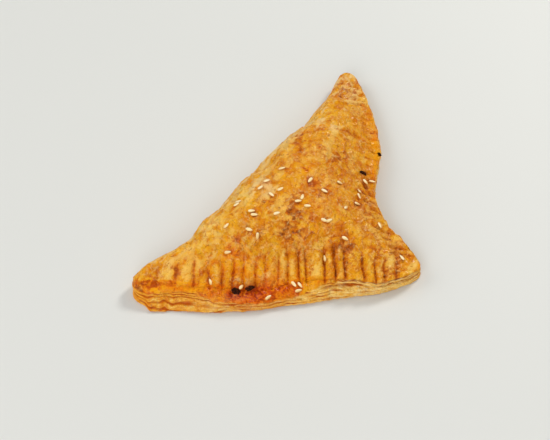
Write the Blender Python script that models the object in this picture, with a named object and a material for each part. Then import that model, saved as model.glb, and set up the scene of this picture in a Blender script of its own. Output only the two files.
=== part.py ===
"""Paneer puff: a square of puff pastry folded over its filling into a triangle.

The fold runs along +X, the square corner points to -Y, and the two cut edges beside it are
pressed shut with a fork. The puff stands on Z = 0. It is one closed solid: a domed crust, a
flaky side lofted through the sections below, a flat base, and the sesame seeds and scorched
drips that are baked on. Lengths are in millimetres up to the last step, which makes metres.
"""

import math
import random

import bmesh
import bpy
import numpy as np
from mathutils import Matrix, Vector
from mathutils.bvhtree import BVHTree
from mathutils.geometry import delaunay_2d_cdt

MM = 0.001

# Sections of the side, from the crust's shoulder down to the base. Each row holds the share
# of the way down, the share of the stand-out, and the share of the shoulder's height.
FAN_SECTION = (
    (0.0, 0.0, 1.0),
    (0.07, 0.05, 0.9),
    (0.3, 0.34, 0.84),
    (0.55, 0.56, 0.6),
    (0.8, 0.8, 0.32),
    (0.93, 1.0, 0.1),
    (1.0, 0.97, 0.0),
)
LIP_SECTION = (
    (0.0, 0.0, 1.0),
    (0.07, 0.03, 0.9),
    (0.3, 0.4, 0.84),
    (0.58, 0.76, 0.52),
    (0.8, 0.9, 0.28),
    (0.93, 1.0, 0.09),
    (1.0, 0.96, 0.0),
)
STACK_SECTION = (
    (0.0, 0.0, 1.0),
    (0.12, 0.16, 0.9),
    (0.32, 0.2, 0.66),
    (0.42, 0.05, 0.55),
    (0.49, -0.12, 0.52),
    (0.58, 0.5, 0.46),
    (0.76, 0.92, 0.28),
    (0.92, 1.0, 0.09),
    (1.0, 0.94, 0.0),
)
BACK_SECTION = (
    (0.0, 0.0, 1.0),
    (0.15, 0.8, 0.88),
    (0.36, 1.0, 0.66),
    (0.48, 0.1, 0.53),
    (0.6, 0.8, 0.42),
    (0.85, 0.6, 0.14),
    (1.0, -0.1, 0.0),
)
FOLD_SECTION = (
    (0.0, 0.0, 1.0),
    (0.2, 0.6, 0.87),
    (0.4, 0.95, 0.69),
    (0.55, 1.0, 0.5),
    (0.75, 0.84, 0.27),
    (0.9, 0.45, 0.09),
    (1.0, -0.1, 0.0),
)
SECTIONS = (FAN_SECTION, LIP_SECTION, STACK_SECTION, BACK_SECTION, FOLD_SECTION)
FAN, LIP, STACK, BACK, FOLD = range(len(SECTIONS))

# The shoulder's outline from above, counter-clockwise from the square corner. Each station
# holds x, y, height, stand-out, the share of the side that is smooth skin, and the section.
BACK_EDGE = (
    (5.2, -50.0, 7.8, 0.8, 0.1, LIP),
    (8.4, -46.6, 8.4, 0.8, 0.1, LIP),
    (12.3, -34.6, 10.0, 1.2, 0.1, BACK),
    (14.6, -25.6, 10.5, 1.2, 0.1, BACK),
    (19.5, -16.2, 11.0, 1.2, 0.1, BACK),
    (27.6, -7.9, 11.5, 1.2, 0.1, BACK),
    (39.2, -1.2, 11.5, 1.2, 0.1, BACK),
    (50.7, 4.8, 11.0, 1.2, 0.1, BACK),
    (60.2, 12.8, 10.5, 1.2, 0.1, BACK),
    (70.5, 22.9, 10.0, 1.0, 0.1, BACK),
    (79.3, 33.9, 9.5, 1.0, 0.1, BACK),
)
TOP_TIP = (
    (87.5, 45.8, 9.2, 1.2, 0.2, BACK),
    (85.8, 50.8, 9.5, 1.2, 0.6, BACK),
)
FOLD_EDGE = (
    (79.2, 49.6, 11.0, 1.8, 1.0, FOLD),
    (66.5, 45.0, 13.0, 2.5, 1.0, FOLD),
    (52.8, 43.4, 14.0, 3.0, 1.0, FOLD),
    (38.5, 41.4, 14.5, 3.2, 1.0, FOLD),
    (30.1, 43.0, 15.5, 3.4, 1.0, FOLD),
    (9.0, 42.8, 16.5, 3.6, 1.0, FOLD),
    (-2.0, 42.0, 16.5, 3.6, 1.0, FOLD),
    (-10.0, 43.0, 16.5, 3.6, 1.0, FOLD),
    (-28.0, 41.4, 16.0, 3.6, 1.0, FOLD),
    (-39.5, 43.0, 15.5, 3.4, 1.0, FOLD),
    (-49.7, 42.2, 13.5, 3.0, 1.0, FOLD),
    (-59.8, 45.0, 12.5, 2.5, 1.0, FOLD),
    (-72.8, 50.5, 11.0, 2.0, 1.0, FOLD),
)
LEFT_TIP = (
    (-80.4, 50.4, 10.0, 3.2, 0.55, FOLD),
    (-83.0, 48.6, 9.5, 3.8, 0.45, FAN),
)
FRONT_EDGE = (
    (-80.6, 46.0, 9.5, 10.2, 0.45, FAN),
    (-76.6, 41.8, 9.5, 11.4, 0.42, FAN),
    (-73.2, 37.2, 9.5, 11.2, 0.36, FAN),
    (-69.0, 29.5, 9.5, 10.1, 0.28, FAN),
    (-62.0, 18.5, 9.5, 9.5, 0.54, LIP),
    (-51.5, 1.5, 9.5, 6.0, 0.64, LIP),
    (-40.0, -7.0, 9.5, 7.4, 0.62, LIP),
    (-30.5, -15.5, 10.5, 8.2, 0.42, LIP),
    (-21.0, -29.0, 11.0, 4.5, 0.08, STACK),
    (-14.6, -39.8, 9.5, 1.2, 0.08, STACK),
    (-7.2, -45.4, 9.0, 0.8, 0.1, STACK),
    (0.6, -49.2, 8.2, 0.8, 0.1, STACK),
)
# Middle of the footprint, which goes to the origin.
MIDDLE = (0.6, 1.0)

# Laminae that show in the side: how far they stand out, how far single ones are torn back
# or forward, and their wave as a share of the side's height.
LAYERS = 8
LAYER_RELIEF = 0.5
LAYER_SHARPNESS = 1.5
RAGGED_RELIEF = 0.4
RAGGED_LENGTH = 5.0
WAVE_SHARE = 0.08
WAVE_LENGTH = 13.0
WAVE_CHANGE = 8.0
SKIN_EDGE = 0.05
BASE_LIFT = 0.25

# Dome over the filling: its rise above the shoulder, how far in from each edge it runs, and
# how quickly it rises there.
DOME_HEIGHT = 16.0
DOME_RUN_FRONT = 29.0
DOME_RUN_BACK = 31.0
DOME_RUN_FOLD = 24.0
DOME_CUT_POWER = 0.8
DOME_FOLD_POWER = 0.7
SHOULDER_BLEND = 0.4

# Fork marks: which way the tines lay, in degrees from +X, the space from one mark to the
# next, the depth of each, and how far in the first and the last of them reach. On the front
# they are counted from the left tip, on the back from the corner, where the fork was pressed
# more lightly. They fade out over a share of the side, and towards the square corner, and
# they wander to the side by up to so much further in.
FRONT_HEADING = 37.5
FRONT_SPACES = (5, 9, 8.5, 7.5, 5.5, 5, 5, 6, 4.5, 6, 4.5, 5.5, 3, 9, 5, 4.5, 9, 5.5, 4, 5.5)
FRONT_DEPTHS = (
    0.9, 0.7, 0.7, 1.1, 1.3, 1.1, 1.3, 1.3, 0.9, 1.1, 1.1, 1.3, 1.7, 1.9, 1.9, 1.9, 1.7, 1.7, 1.3, 0.9
)
FRONT_REACH = (10.5, 15.5)
BACK_HEADING = 130.0
BACK_SPACES = (4.6,) * 26
BACK_DEPTHS = (1.1,) * 26
BACK_REACH = (9.0, 9.0)
MARK_ROUNDNESS = 0.75
MARK_REACH_CHANGE = 2.5
MARK_REACH_LENGTH = 7.0
MARK_FADE = 5.0
MARK_DROP = 0.55
MARK_CORNER = 12.0
MARK_WANDER = 1.2
MARK_WANDER_LENGTH = 9.0
MARK_WANDER_RISE = 9.0

# Blisters of the crust: height and width of each size.
BLISTERS = ((0.7, 11.0), (0.45, 5.0))
BLISTER_MARGIN = 5.0

# Sesame seeds. Each patch holds its middle x and y, its radius, and how many seeds it has.
SEED_SIZE = (3.4, 2.0, 1.1)
SEED_TAPER = 0.35
SEED_SINK = 0.3
SEED_GAP = 3.2
SEED_GAP_EASE = 0.99
SEED_HEADING = -52.0
SEED_HEADING_CHANGE = 50.0
SEED_DRAW = 50475
SEED_PATCHES = (
    (-28.0, 32.0, 1.4, 2),
    (-14.0, 28.2, 3.0, 2),
    (-13.3, 20.2, 3.6, 2),
    (-0.9, 26.3, 1.0, 1),
    (2.0, 12.1, 1.0, 1),
    (-8.8, 9.9, 2.8, 2),
    (-10.0, 4.4, 1.0, 1),
    (1.7, 3.8, 1.0, 1),
    (13.7, 3.7, 1.0, 1),
    (18.2, -5.1, 3.2, 2),
    (30.4, -3.2, 2.0, 2),
    (11.7, -8.9, 1.0, 1),
    (3.3, -8.9, 1.0, 1),
    (-9.9, -6.5, 1.4, 2),
    (-29.7, 21.2, 1.6, 2),
    (-22.5, 13.1, 1.0, 1),
    (-41.5, 28.2, 1.0, 1),
    (-38.9, 15.2, 4.2, 2),
    (-49.6, 21.1, 1.0, 1),
    (-9.3, -17.6, 1.0, 1),
    (-20.9, -14.9, 1.0, 1),
    (9.7, -24.4, 1.0, 1),
    (2.6, -41.0, 1.0, 1),
    (-62.8, 22.6, 1.0, 1),
    (-55.3, 8.5, 0.8, 1),
    (-39.6, -10.4, 2.6, 3),
    (-51.1, -4.7, 1.0, 1),
)

# Scorched bits of filling: x, y, length, width, height and heading.
SCORCHED_BITS = (
    (-58.9, 9.2, 4.6, 3.0, 1.4, -87.0),
    (-54.1, 4.7, 4.6, 2.2, 1.2, -37.0),
    (32.2, 1.3, 3.6, 2.0, 1.4, -52.0),
    (49.6, 3.3, 2.4, 1.8, 1.5, 40.0),
)
BIT_SINK = 0.4

# Finish of the plain model.
CRUST_COLOUR = (0.58, 0.27, 0.06, 1.0)
CRUST_ROUGHNESS = 0.5
SHARP_ANGLE = 50.0

# Size of the facets.
OUTLINE_STEPS = 24
NEAREST_STEPS = 260
TANGENT_REACH = 1.2
MERGE_DISTANCE = 0.0001
COLUMNS_PER_MARK = 3
EDGE_COLUMN_PITCH = 2.6
FOLD_COLUMN_PITCH = 4.6
ROW_DROP = 0.12
CRIMP_INSETS = (2.4, 5.6, 9.4, 14.0)
CRIMP_MARGIN = 0.85
DOME_PITCH = 3.6
BASE_INSET = 0.6
BASE_STEP = 6
SEED_FACETS = (6, 4)
BIT_FACETS = (8, 5)

# Lattices of random numbers behind the noise, and which one each relief reads.
NOISE_CELLS = 64
BLISTER_DRAW = 0
WANDER_DRAW = 3
RAGGED_DRAW = 4
WAVE_DRAW = 5
REACH_DRAW = 6


def smooth_step(value):
    """0 below 0, 1 above 1, and a soft rise between."""
    share = np.clip(value, 0.0, 1.0)
    return share * share * (3.0 - 2.0 * share)


def closed_curve(points, steps):
    """A smooth closed curve through the rows of points, with so many steps to each span."""
    before, after = np.roll(points, 1, axis=0), np.roll(points, -1, axis=0)
    beyond = np.roll(points, -2, axis=0)
    slope = after - before
    bend = 2.0 * before - 5.0 * points + 4.0 * after - beyond
    twist = 3.0 * points - before - 3.0 * after + beyond
    curve = [
        points + 0.5 * (slope * share + bend * share**2 + twist * share**3)
        for share in np.arange(steps) / steps
    ]
    return np.stack(curve, axis=1).reshape(-1, points.shape[1])


def bumps(x, y, width, draw):
    """Smooth noise from -1 to 1, with bumps of about the given width."""
    lattice = np.random.RandomState(draw).uniform(-1.0, 1.0, (NOISE_CELLS, NOISE_CELLS))
    column, row = np.floor(x / width).astype(int), np.floor(y / width).astype(int)
    across, along = smooth_step(x / width - column), smooth_step(y / width - row)

    def lattice_row(offset):
        left = lattice[(row + offset) % NOISE_CELLS, column % NOISE_CELLS]
        right = lattice[(row + offset) % NOISE_CELLS, (column + 1) % NOISE_CELLS]
        return left * (1.0 - across) + right * across

    return lattice_row(0) * (1.0 - along) + lattice_row(1) * along


class Outline:
    """The shoulder as a closed curve, measured in millimetres along it."""

    def __init__(self, *edges):
        stations = np.array([station for edge in edges for station in edge], float)
        counts = np.cumsum([0] + [len(edge) for edge in edges])
        curve = closed_curve(stations[:, :4], OUTLINE_STEPS)
        hops = np.linalg.norm(np.roll(curve, -1, axis=0)[:, :2] - curve[:, :2], axis=1)
        self.curve = np.vstack([curve, curve[:1]])
        self.length = np.concatenate([[0.0], np.cumsum(hops)])
        self.total = self.length[-1]
        self.station_at = self.length[::OUTLINE_STEPS]
        self.edge_ends = self.station_at[counts]
        section = np.eye(len(SECTIONS))[stations[:, 5].astype(int)]
        finish = np.column_stack([stations[:, 4], section])
        self.finish = np.vstack([finish, finish[:1]])

    def at(self, position):
        """x, y, height and stand-out at positions along the outline."""
        position = np.mod(position, self.total)
        columns = [np.interp(position, self.length, column) for column in self.curve.T]
        return np.stack(columns, axis=-1)

    def finish_at(self, position):
        """Skin share, and the weights of the sections, at positions along the outline."""
        columns = [np.interp(position, self.station_at, column) for column in self.finish.T]
        return columns[0], np.stack(columns[1:], axis=-1)

    def outward(self, position):
        """Unit vectors square to the outline, pointing away from the filling."""
        behind, ahead = self.at(position - TANGENT_REACH), self.at(position + TANGENT_REACH)
        along = (ahead - behind)[..., :2]
        along /= np.linalg.norm(along, axis=-1, keepdims=True)
        return np.stack([along[..., 1], -along[..., 0]], axis=-1)

    def nearest(self, x, y, start, end):
        """Distance from points to a stretch of the outline, and the nearest position on it."""
        positions = np.linspace(start, end, NEAREST_STEPS)
        stretch = self.at(positions)[:, :2]
        points = np.stack([np.ravel(x), np.ravel(y)], axis=-1)
        gaps = np.linalg.norm(points[:, None] - stretch[None], axis=-1)
        best = gaps.argmin(axis=1)
        return gaps.min(axis=1).reshape(np.shape(x)), positions[best].reshape(np.shape(x))

    def holds(self, points):
        """Which of the points lie inside the outline."""
        start, end = self.curve[:-1, :2], self.curve[1:, :2]
        x, y = points[:, :1], points[:, 1:]
        spans = (start[:, 1] > y) != (end[:, 1] > y)
        rise = np.where(end[:, 1] == start[:, 1], 1.0, end[:, 1] - start[:, 1])
        crossing = start[:, 0] + (y - start[:, 1]) / rise * (end[:, 0] - start[:, 0])
        return (spans & (x < crossing)).sum(axis=1) % 2 == 1


class ForkedEdge:
    """A cut edge that was pressed with a fork, and the marks across it."""

    def __init__(self, start, end, heading, spaces, depths, reach):
        self.start, self.end = start, end
        self.depths, self.reach = depths, reach
        turn = math.radians(heading)
        self.inward = np.array([math.cos(turn), math.sin(turn)])
        self.square = np.array([math.sin(turn), -math.cos(turn)])
        self.marks = OUTLINE.at(start)[:2] @ self.square + np.cumsum(spaces)

    def mark_positions(self):
        """Where the marks reach the outline."""
        positions = np.linspace(self.start, self.end, NEAREST_STEPS)
        return np.interp(self.marks, OUTLINE.at(positions)[:, :2] @ self.square, positions)

    def offset(self, x, y, gap):
        """Distance of the points across the marks, which wander a little further in."""
        rise = MARK_WANDER * smooth_step(gap / MARK_WANDER_RISE)
        straight = x * self.square[0] + y * self.square[1]
        return straight + rise * bumps(x, y, MARK_WANDER_LENGTH, WANDER_DRAW)

    def groove(self, x, y, gap):
        """Depth of the narrow grooves, which have round lands between them."""
        offset = self.offset(x, y, gap)
        first = 1.5 * self.marks[0] - 0.5 * self.marks[1]
        last = 1.5 * self.marks[-1] - 0.5 * self.marks[-2]
        bounds = np.concatenate([[first], self.marks, [last]])
        phases = np.concatenate([[0.5], np.arange(len(self.marks)) + 1.0, [len(self.marks) + 0.5]])
        phase = np.interp(offset, bounds, phases)
        share = 1.0 - np.abs(np.sin(math.pi * phase)) ** MARK_ROUNDNESS
        change = bumps(offset, 0.0 * offset, MARK_REACH_LENGTH, REACH_DRAW)
        reach = np.interp(offset, self.marks[[0, -1]], self.reach) + MARK_REACH_CHANGE * change
        depth = np.interp(offset, self.marks, self.depths)
        return depth * share * smooth_step((reach - gap) / MARK_FADE)


OUTLINE = Outline(BACK_EDGE, TOP_TIP, FOLD_EDGE, LEFT_TIP, FRONT_EDGE)
BACK_START, BACK_END, FOLD_START, FOLD_END, FRONT_START, FRONT_END = OUTLINE.edge_ends
FRONT_FORKED = ForkedEdge(
    FRONT_START, FRONT_END, FRONT_HEADING, FRONT_SPACES, FRONT_DEPTHS, FRONT_REACH
)
BACK_FORKED = ForkedEdge(
    BACK_START, BACK_END, BACK_HEADING, BACK_SPACES, BACK_DEPTHS, BACK_REACH
)


def groove_depth(x, y, back_gap, front_gap):
    """Depth of the fork marks at points with the given distances to the two cut edges."""
    corner_x, corner_y = BACK_EDGE[0][:2]
    fade = smooth_step(np.hypot(x - corner_x, y - corner_y) / MARK_CORNER)
    back, front = BACK_FORKED.groove(x, y, back_gap), FRONT_FORKED.groove(x, y, front_gap)
    return fade * np.maximum(back, front)


def crust_height(x, y):
    """Height of the crust's top over the points x, y."""
    back_gap, back_at = OUTLINE.nearest(x, y, BACK_START, BACK_END)
    fold_gap, fold_at = OUTLINE.nearest(x, y, BACK_END, FRONT_START)
    front_gap, front_at = OUTLINE.nearest(x, y, FRONT_START, FRONT_END)
    gaps = np.stack([back_gap, fold_gap, front_gap])
    edges = np.stack([OUTLINE.at(at)[..., 2] for at in (back_at, fold_at, front_at)])
    pull = 1.0 / (gaps + SHOULDER_BLEND) ** 2
    shoulder = (pull * edges).sum(axis=0) / pull.sum(axis=0)
    quarter_turn = 0.5 * math.pi * np.clip(fold_gap / DOME_RUN_FOLD, 0.0, 1.0)
    swell = (
        smooth_step(back_gap / DOME_RUN_BACK) ** DOME_CUT_POWER
        * smooth_step(front_gap / DOME_RUN_FRONT) ** DOME_CUT_POWER
        * np.sin(quarter_turn) ** DOME_FOLD_POWER
    )
    inside = smooth_step(gaps.min(axis=0) / BLISTER_MARGIN)
    blisters = sum(
        rise * bumps(x, y, width, BLISTER_DRAW + size)
        for size, (rise, width) in enumerate(BLISTERS)
    )
    grooves = groove_depth(x, y, back_gap, front_gap)
    return shoulder + DOME_HEIGHT * swell + inside * blisters - grooves


def spread_columns(knots, least, pitch):
    """Positions from knot to knot, at least so many to a span, and no wider than the pitch."""
    columns = []
    for start, end in zip(knots, knots[1:]):
        span = np.linspace(start, end, OUTLINE_STEPS)
        station = OUTLINE.at(span)
        foot = station[:, :2] + OUTLINE.outward(span) * station[:, 3:]
        width = np.linalg.norm(np.diff(foot, axis=0), axis=1).sum()
        steps = max(least, math.ceil(width / pitch))
        columns.append(np.linspace(start, end, steps + 1)[:-1])
    return np.concatenate(columns)


def side_columns():
    """Positions of the side's columns: a few to each fork mark, and wider ones on the fold."""
    back = [BACK_START, *BACK_FORKED.mark_positions(), BACK_END]
    front = [FRONT_START, *FRONT_FORKED.mark_positions(), FRONT_END]
    stretches = (
        (back, EDGE_COLUMN_PITCH),
        ((BACK_END, FOLD_START), EDGE_COLUMN_PITCH),
        ((FOLD_START, FOLD_END), FOLD_COLUMN_PITCH),
        ((FOLD_END, FRONT_START), EDGE_COLUMN_PITCH),
        (front, EDGE_COLUMN_PITCH),
    )
    return np.concatenate(
        [spread_columns(knots, COLUMNS_PER_MARK, pitch) for knots, pitch in stretches]
    )


def side_points(columns, rows):
    """Points of the flaky side, as an array of rows by columns by x, y, z."""
    way = np.linspace(0.0, 1.0, rows)[:, None]
    skin, weights = OUTLINE.finish_at(columns)
    base, away = OUTLINE.at(columns), OUTLINE.outward(columns)
    out, up = (
        sum(
            weights[:, kind] * np.interp(way, *np.array(section)[:, (0, value)].T)
            for kind, section in enumerate(SECTIONS)
        )
        for value in (1, 2)
    )
    lamina = way * LAYERS
    along = columns + 0.0 * way
    layered = smooth_step((way - skin) / SKIN_EDGE) * smooth_step((1.0 - way) / SKIN_EDGE)
    ledge = 1.0 - 2.0 * (1.0 - np.abs(np.sin(math.pi * lamina))) ** LAYER_SHARPNESS
    ragged = bumps(along, RAGGED_LENGTH * np.floor(lamina), RAGGED_LENGTH, RAGGED_DRAW)
    reach = base[:, 3] * out + layered * (LAYER_RELIEF * ledge + RAGGED_RELIEF * ragged)

    wave = bumps(along, WAVE_CHANGE * way, WAVE_LENGTH, WAVE_DRAW) * 4.0 * way * (1.0 - way)
    back_gap = OUTLINE.nearest(base[:, 0], base[:, 1], BACK_START, BACK_END)[0]
    front_gap = OUTLINE.nearest(base[:, 0], base[:, 1], FRONT_START, FRONT_END)[0]
    groove = groove_depth(base[:, 0], base[:, 1], back_gap, front_gap)
    height = base[:, 2] * (up + (1.0 - skin) * WAVE_SHARE * wave)
    height -= groove * (1.0 - smooth_step(way / MARK_DROP))
    for upper, lower in zip(height, height[1:]):
        np.minimum(lower, upper - ROW_DROP, out=lower)
    height = np.maximum(height, BASE_LIFT * (way < 1.0))
    points = base[:, :2] + away * reach[..., None]
    return np.concatenate([points, height[..., None]], axis=-1)


def top_points(columns):
    """Points inside the crust's outline: rows along its edges, then an even spread."""
    edge, inward = OUTLINE.at(columns)[:, :2], -OUTLINE.outward(columns)
    for forked in (BACK_FORKED, FRONT_FORKED):
        inward[(columns >= forked.start) & (columns < forked.end)] = forked.inward
    rows = [(edge + inward * inset, inset * CRIMP_MARGIN) for inset in CRIMP_INSETS]
    extent = np.abs(OUTLINE.curve[:, :2]).max()
    steps = np.arange(-extent, extent, DOME_PITCH)
    lines = [
        np.column_stack([steps + 0.5 * DOME_PITCH * (count % 2), np.full_like(steps, y)])
        for count, y in enumerate(np.arange(-extent, extent, DOME_PITCH * math.sqrt(0.75)))
    ]
    rows.append((np.concatenate(lines), CRIMP_INSETS[-1] + 0.5 * DOME_PITCH))
    kept = []
    for points, margin in rows:
        points = points[OUTLINE.holds(points)]
        gap = OUTLINE.nearest(points[:, 0], points[:, 1], 0.0, OUTLINE.total)[0]
        kept.append(points[gap > margin])
    return np.concatenate(kept)


def fill_ring(ring, inner):
    """Triangles over a ring of points and the points inside it, turned to face up."""
    points = [Vector(point) for point in np.concatenate([ring, inner])]
    borders = [(here, (here + 1) % len(ring)) for here in range(len(ring))]
    found, _, faces, sources, _, _ = delaunay_2d_cdt(points, borders, [], 1, MERGE_DISTANCE)
    if len(found) != len(points):
        raise ValueError("the outline crosses itself")
    order = [source[0] for source in sources]
    return [[order[corner] for corner in face] for face in faces]


def crust_body():
    """The closed body of the puff: crust, flaky side and base."""
    columns = side_columns()
    side = side_points(columns, 2 * LAYERS + 1)
    body = bmesh.new()
    rows = [[body.verts.new(point) for point in row] for row in side]
    for upper, lower in zip(rows, rows[1:]):
        for here in range(len(columns)):
            after = here - len(columns) + 1
            body.faces.new((upper[here], lower[here], lower[after], upper[after]))

    top = top_points(columns)
    heights = crust_height(top[:, 0], top[:, 1])
    verts = rows[0] + [body.verts.new((*spot, height)) for spot, height in zip(top, heights)]
    for face in fill_ring(side[0, :, :2], top):
        body.faces.new([verts[corner] for corner in face])

    foot = side[-1, :, :2]
    middle = foot.mean(axis=0)
    floor = middle + BASE_INSET * (foot[::BASE_STEP] - middle)
    verts = rows[-1] + [body.verts.new((*spot, 0.0)) for spot in floor]
    for face in fill_ring(foot, floor):
        body.faces.new([verts[corner] for corner in reversed(face)])

    bmesh.ops.triangulate(body, faces=body.faces[:])
    bmesh.ops.recalc_face_normals(body, faces=body.faces[:])
    return body


def seed_spots():
    """x, y and heading in degrees of each sesame seed, drawn within its patch."""
    draw = random.Random(SEED_DRAW)
    spots = []
    for middle_x, middle_y, radius, count in SEED_PATCHES:
        wanted = len(spots) + count
        gap = SEED_GAP
        while len(spots) < wanted:
            turn, reach = draw.uniform(0.0, 2.0 * math.pi), radius * math.sqrt(draw.random())
            x, y = middle_x + reach * math.cos(turn), middle_y + reach * math.sin(turn)
            if all(math.hypot(x - spot[0], y - spot[1]) >= gap for spot in spots):
                spots.append((x, y, draw.gauss(SEED_HEADING, SEED_HEADING_CHANGE)))
            gap *= SEED_GAP_EASE
    return spots


def to_metres():
    """Moves the footprint's middle to the origin and turns millimetres into metres."""
    return Matrix.Scale(MM, 4) @ Matrix.Translation((-MIDDLE[0], -MIDDLE[1], 0.0))


def pebble(name, surface, spot, size, sink, taper, facets):
    """An ellipsoid, slimmer at one end, that lies on the surface at x, y and heading."""
    x, y, heading = spot
    above = Vector((x, y, DOME_HEIGHT * 3.0))
    place, normal, _, _ = surface.ray_cast(above, Vector((0.0, 0.0, -1.0)))
    stone = bmesh.new()
    bmesh.ops.create_uvsphere(stone, u_segments=facets[0], v_segments=facets[1], radius=0.5)
    for vert in stone.verts:
        across, up, along = vert.co
        slim = 1.0 - taper * (along + 0.5)
        vert.co = (along * size[0], across * slim * size[1], up * slim * size[2])
    lying = normal.to_track_quat("Z", "X").to_matrix().to_4x4()
    turn = math.radians(heading)
    aim = lying.inverted() @ Vector((math.cos(turn), math.sin(turn), 0.0))
    spin = Matrix.Rotation(math.atan2(aim.y, aim.x), 4, "Z")
    lift = Matrix.Translation(place + normal * (0.5 * size[2] - sink))
    stone.transform(to_metres() @ lift @ lying @ spin)
    bmesh.ops.recalc_face_normals(stone, faces=stone.faces[:])
    mesh = bpy.data.meshes.new(name)
    stone.to_mesh(mesh)
    stone.free()
    return bpy.data.objects.new(name, mesh)


def toppings(surface):
    """The seeds and the scorched bits, as objects that reach into the surface."""
    pieces = [
        pebble("seed", surface, spot, SEED_SIZE, SEED_SINK, SEED_TAPER, SEED_FACETS)
        for spot in seed_spots()
    ]
    for x, y, *size, heading in SCORCHED_BITS:
        pieces.append(pebble("bit", surface, (x, y, heading), size, BIT_SINK, 0.0, BIT_FACETS))
    return pieces


def fuse(body, pieces):
    """Joins the pieces to the body with one union, and removes them."""
    baked_on = bpy.data.collections.new("toppings")
    bpy.context.scene.collection.children.link(baked_on)
    for piece in pieces:
        baked_on.objects.link(piece)
    union = body.modifiers.new("toppings", "BOOLEAN")
    union.operation = "UNION"
    union.operand_type = "COLLECTION"
    union.collection = baked_on
    union.solver = "EXACT"
    joined = body.evaluated_get(bpy.context.evaluated_depsgraph_get())
    body.data = bpy.data.meshes.new_from_object(joined)
    body.modifiers.clear()
    for piece in pieces:
        bpy.data.objects.remove(piece)
    bpy.data.collections.remove(baked_on)


def crust_material():
    """Egg-washed, golden-brown puff pastry."""
    material = bpy.data.materials.new("crust")
    material.use_nodes = True
    shader = material.node_tree.nodes["Principled BSDF"]
    shader.inputs["Base Color"].default_value = CRUST_COLOUR
    shader.inputs["Roughness"].default_value = CRUST_ROUGHNESS
    shader.inputs["Metallic"].default_value = 0.0
    return material


def main():
    for obj in list(bpy.data.objects):
        bpy.data.objects.remove(obj)
    parts = bpy.data.collections.new("paneer_puff")
    bpy.context.scene.collection.children.link(parts)
    body = crust_body()
    pieces = toppings(BVHTree.FromBMesh(body))
    body.transform(to_metres())
    mesh = bpy.data.meshes.new("puff")
    body.to_mesh(mesh)
    body.free()
    puff = bpy.data.objects.new("puff", mesh)
    parts.objects.link(puff)
    fuse(puff, pieces)
    puff.data.materials.append(crust_material())
    puff.data.shade_smooth()
    puff.data.set_sharp_from_angle(angle=math.radians(SHARP_ANGLE))


main()
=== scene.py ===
"""The looks of the paneer puff: baked crust, flaky cut sides, sesame seeds and scorched bits.

The crust repeats the rules that the solid was made by, with finer facets and with the low
relief that the solid leaves out. Lengths are in millimetres, in the outline's own frame, up
to the last step, which moves the footprint's middle to the origin and makes metres.
"""

import math
import random

import bmesh
import bpy
import numpy as np
from mathutils import Matrix, Vector
from mathutils.bvhtree import BVHTree
from mathutils.geometry import delaunay_2d_cdt

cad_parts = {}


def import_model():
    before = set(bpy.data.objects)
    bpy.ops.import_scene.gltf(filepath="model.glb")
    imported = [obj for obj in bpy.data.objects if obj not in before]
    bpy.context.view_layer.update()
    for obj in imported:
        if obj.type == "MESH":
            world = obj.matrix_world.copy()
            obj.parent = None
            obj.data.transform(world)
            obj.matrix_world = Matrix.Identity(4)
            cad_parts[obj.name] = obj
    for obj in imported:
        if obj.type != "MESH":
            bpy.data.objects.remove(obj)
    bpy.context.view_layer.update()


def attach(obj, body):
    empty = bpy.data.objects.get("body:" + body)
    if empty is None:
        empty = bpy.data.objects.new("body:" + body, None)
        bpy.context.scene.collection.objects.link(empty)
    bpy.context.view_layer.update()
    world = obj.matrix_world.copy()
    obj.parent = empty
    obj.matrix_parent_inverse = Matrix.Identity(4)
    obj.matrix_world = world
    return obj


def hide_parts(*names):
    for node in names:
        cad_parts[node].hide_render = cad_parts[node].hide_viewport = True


MM = 0.001

# Camera: azimuth and elevation in degrees, distance, and where it aims. Its range is in metres.
CAMERA_PLACE = (-52.53, 52.31, 620, (-9.9, 23.4, 0))
CAMERA_LENS = 82.03
CAMERA_SENSOR = 36
CAMERA_RANGE = 10

# Lights: azimuth, elevation, distance, size in metres, power in watts, and colour.
LIGHTS = {
    "key": (84, 42, 1100, 0.25, 5.9, (1, 0.98, 0.95)),
    "fill": (-68, 28, 1200, 0.8, 7, (1, 0.99, 0.98)),
    "back": (-155, 38, 1200, 0.8, 4, (1, 0.99, 0.98)),
}
SKY_COLOUR = (0.97, 0.98, 1)
SKY_STRENGTH = 0.37
# Floor: half its size is in metres.
FLOOR_COLOUR = (222, 223, 218)
FLOOR_SIZE = 3
FLOOR_GAP = 0.05

# Sections of the side, from the crust's shoulder down to the base. The rows hold the share of
# the way down, the share of the stand-out, and the share of the shoulder's height.
FAN_SECTION = (
    (0, 0.07, 0.3, 0.55, 0.8, 0.93, 1),
    (0, 0.05, 0.34, 0.56, 0.8, 1, 0.97),
    (1, 0.9, 0.84, 0.6, 0.32, 0.1, 0),
)
LIP_SECTION = (
    (0, 0.07, 0.3, 0.58, 0.8, 0.93, 1),
    (0, 0.03, 0.4, 0.76, 0.9, 1, 0.96),
    (1, 0.9, 0.84, 0.52, 0.28, 0.09, 0),
)
STACK_SECTION = (
    (0, 0.12, 0.32, 0.42, 0.49, 0.58, 0.76, 0.92, 1),
    (0, 0.16, 0.2, 0.05, -0.12, 0.5, 0.92, 1, 0.94),
    (1, 0.9, 0.66, 0.55, 0.52, 0.46, 0.28, 0.09, 0),
)
BACK_SECTION = (
    (0, 0.15, 0.36, 0.48, 0.6, 0.85, 1),
    (0, 0.8, 1, 0.1, 0.8, 0.6, -0.1),
    (1, 0.88, 0.66, 0.53, 0.42, 0.14, 0),
)
FOLD_SECTION = (
    (0, 0.2, 0.4, 0.55, 0.75, 0.9, 1),
    (0, 0.6, 0.95, 1, 0.84, 0.45, -0.1),
    (1, 0.87, 0.69, 0.5, 0.27, 0.09, 0),
)
SECTIONS = (FAN_SECTION, LIP_SECTION, STACK_SECTION, BACK_SECTION, FOLD_SECTION)
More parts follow.
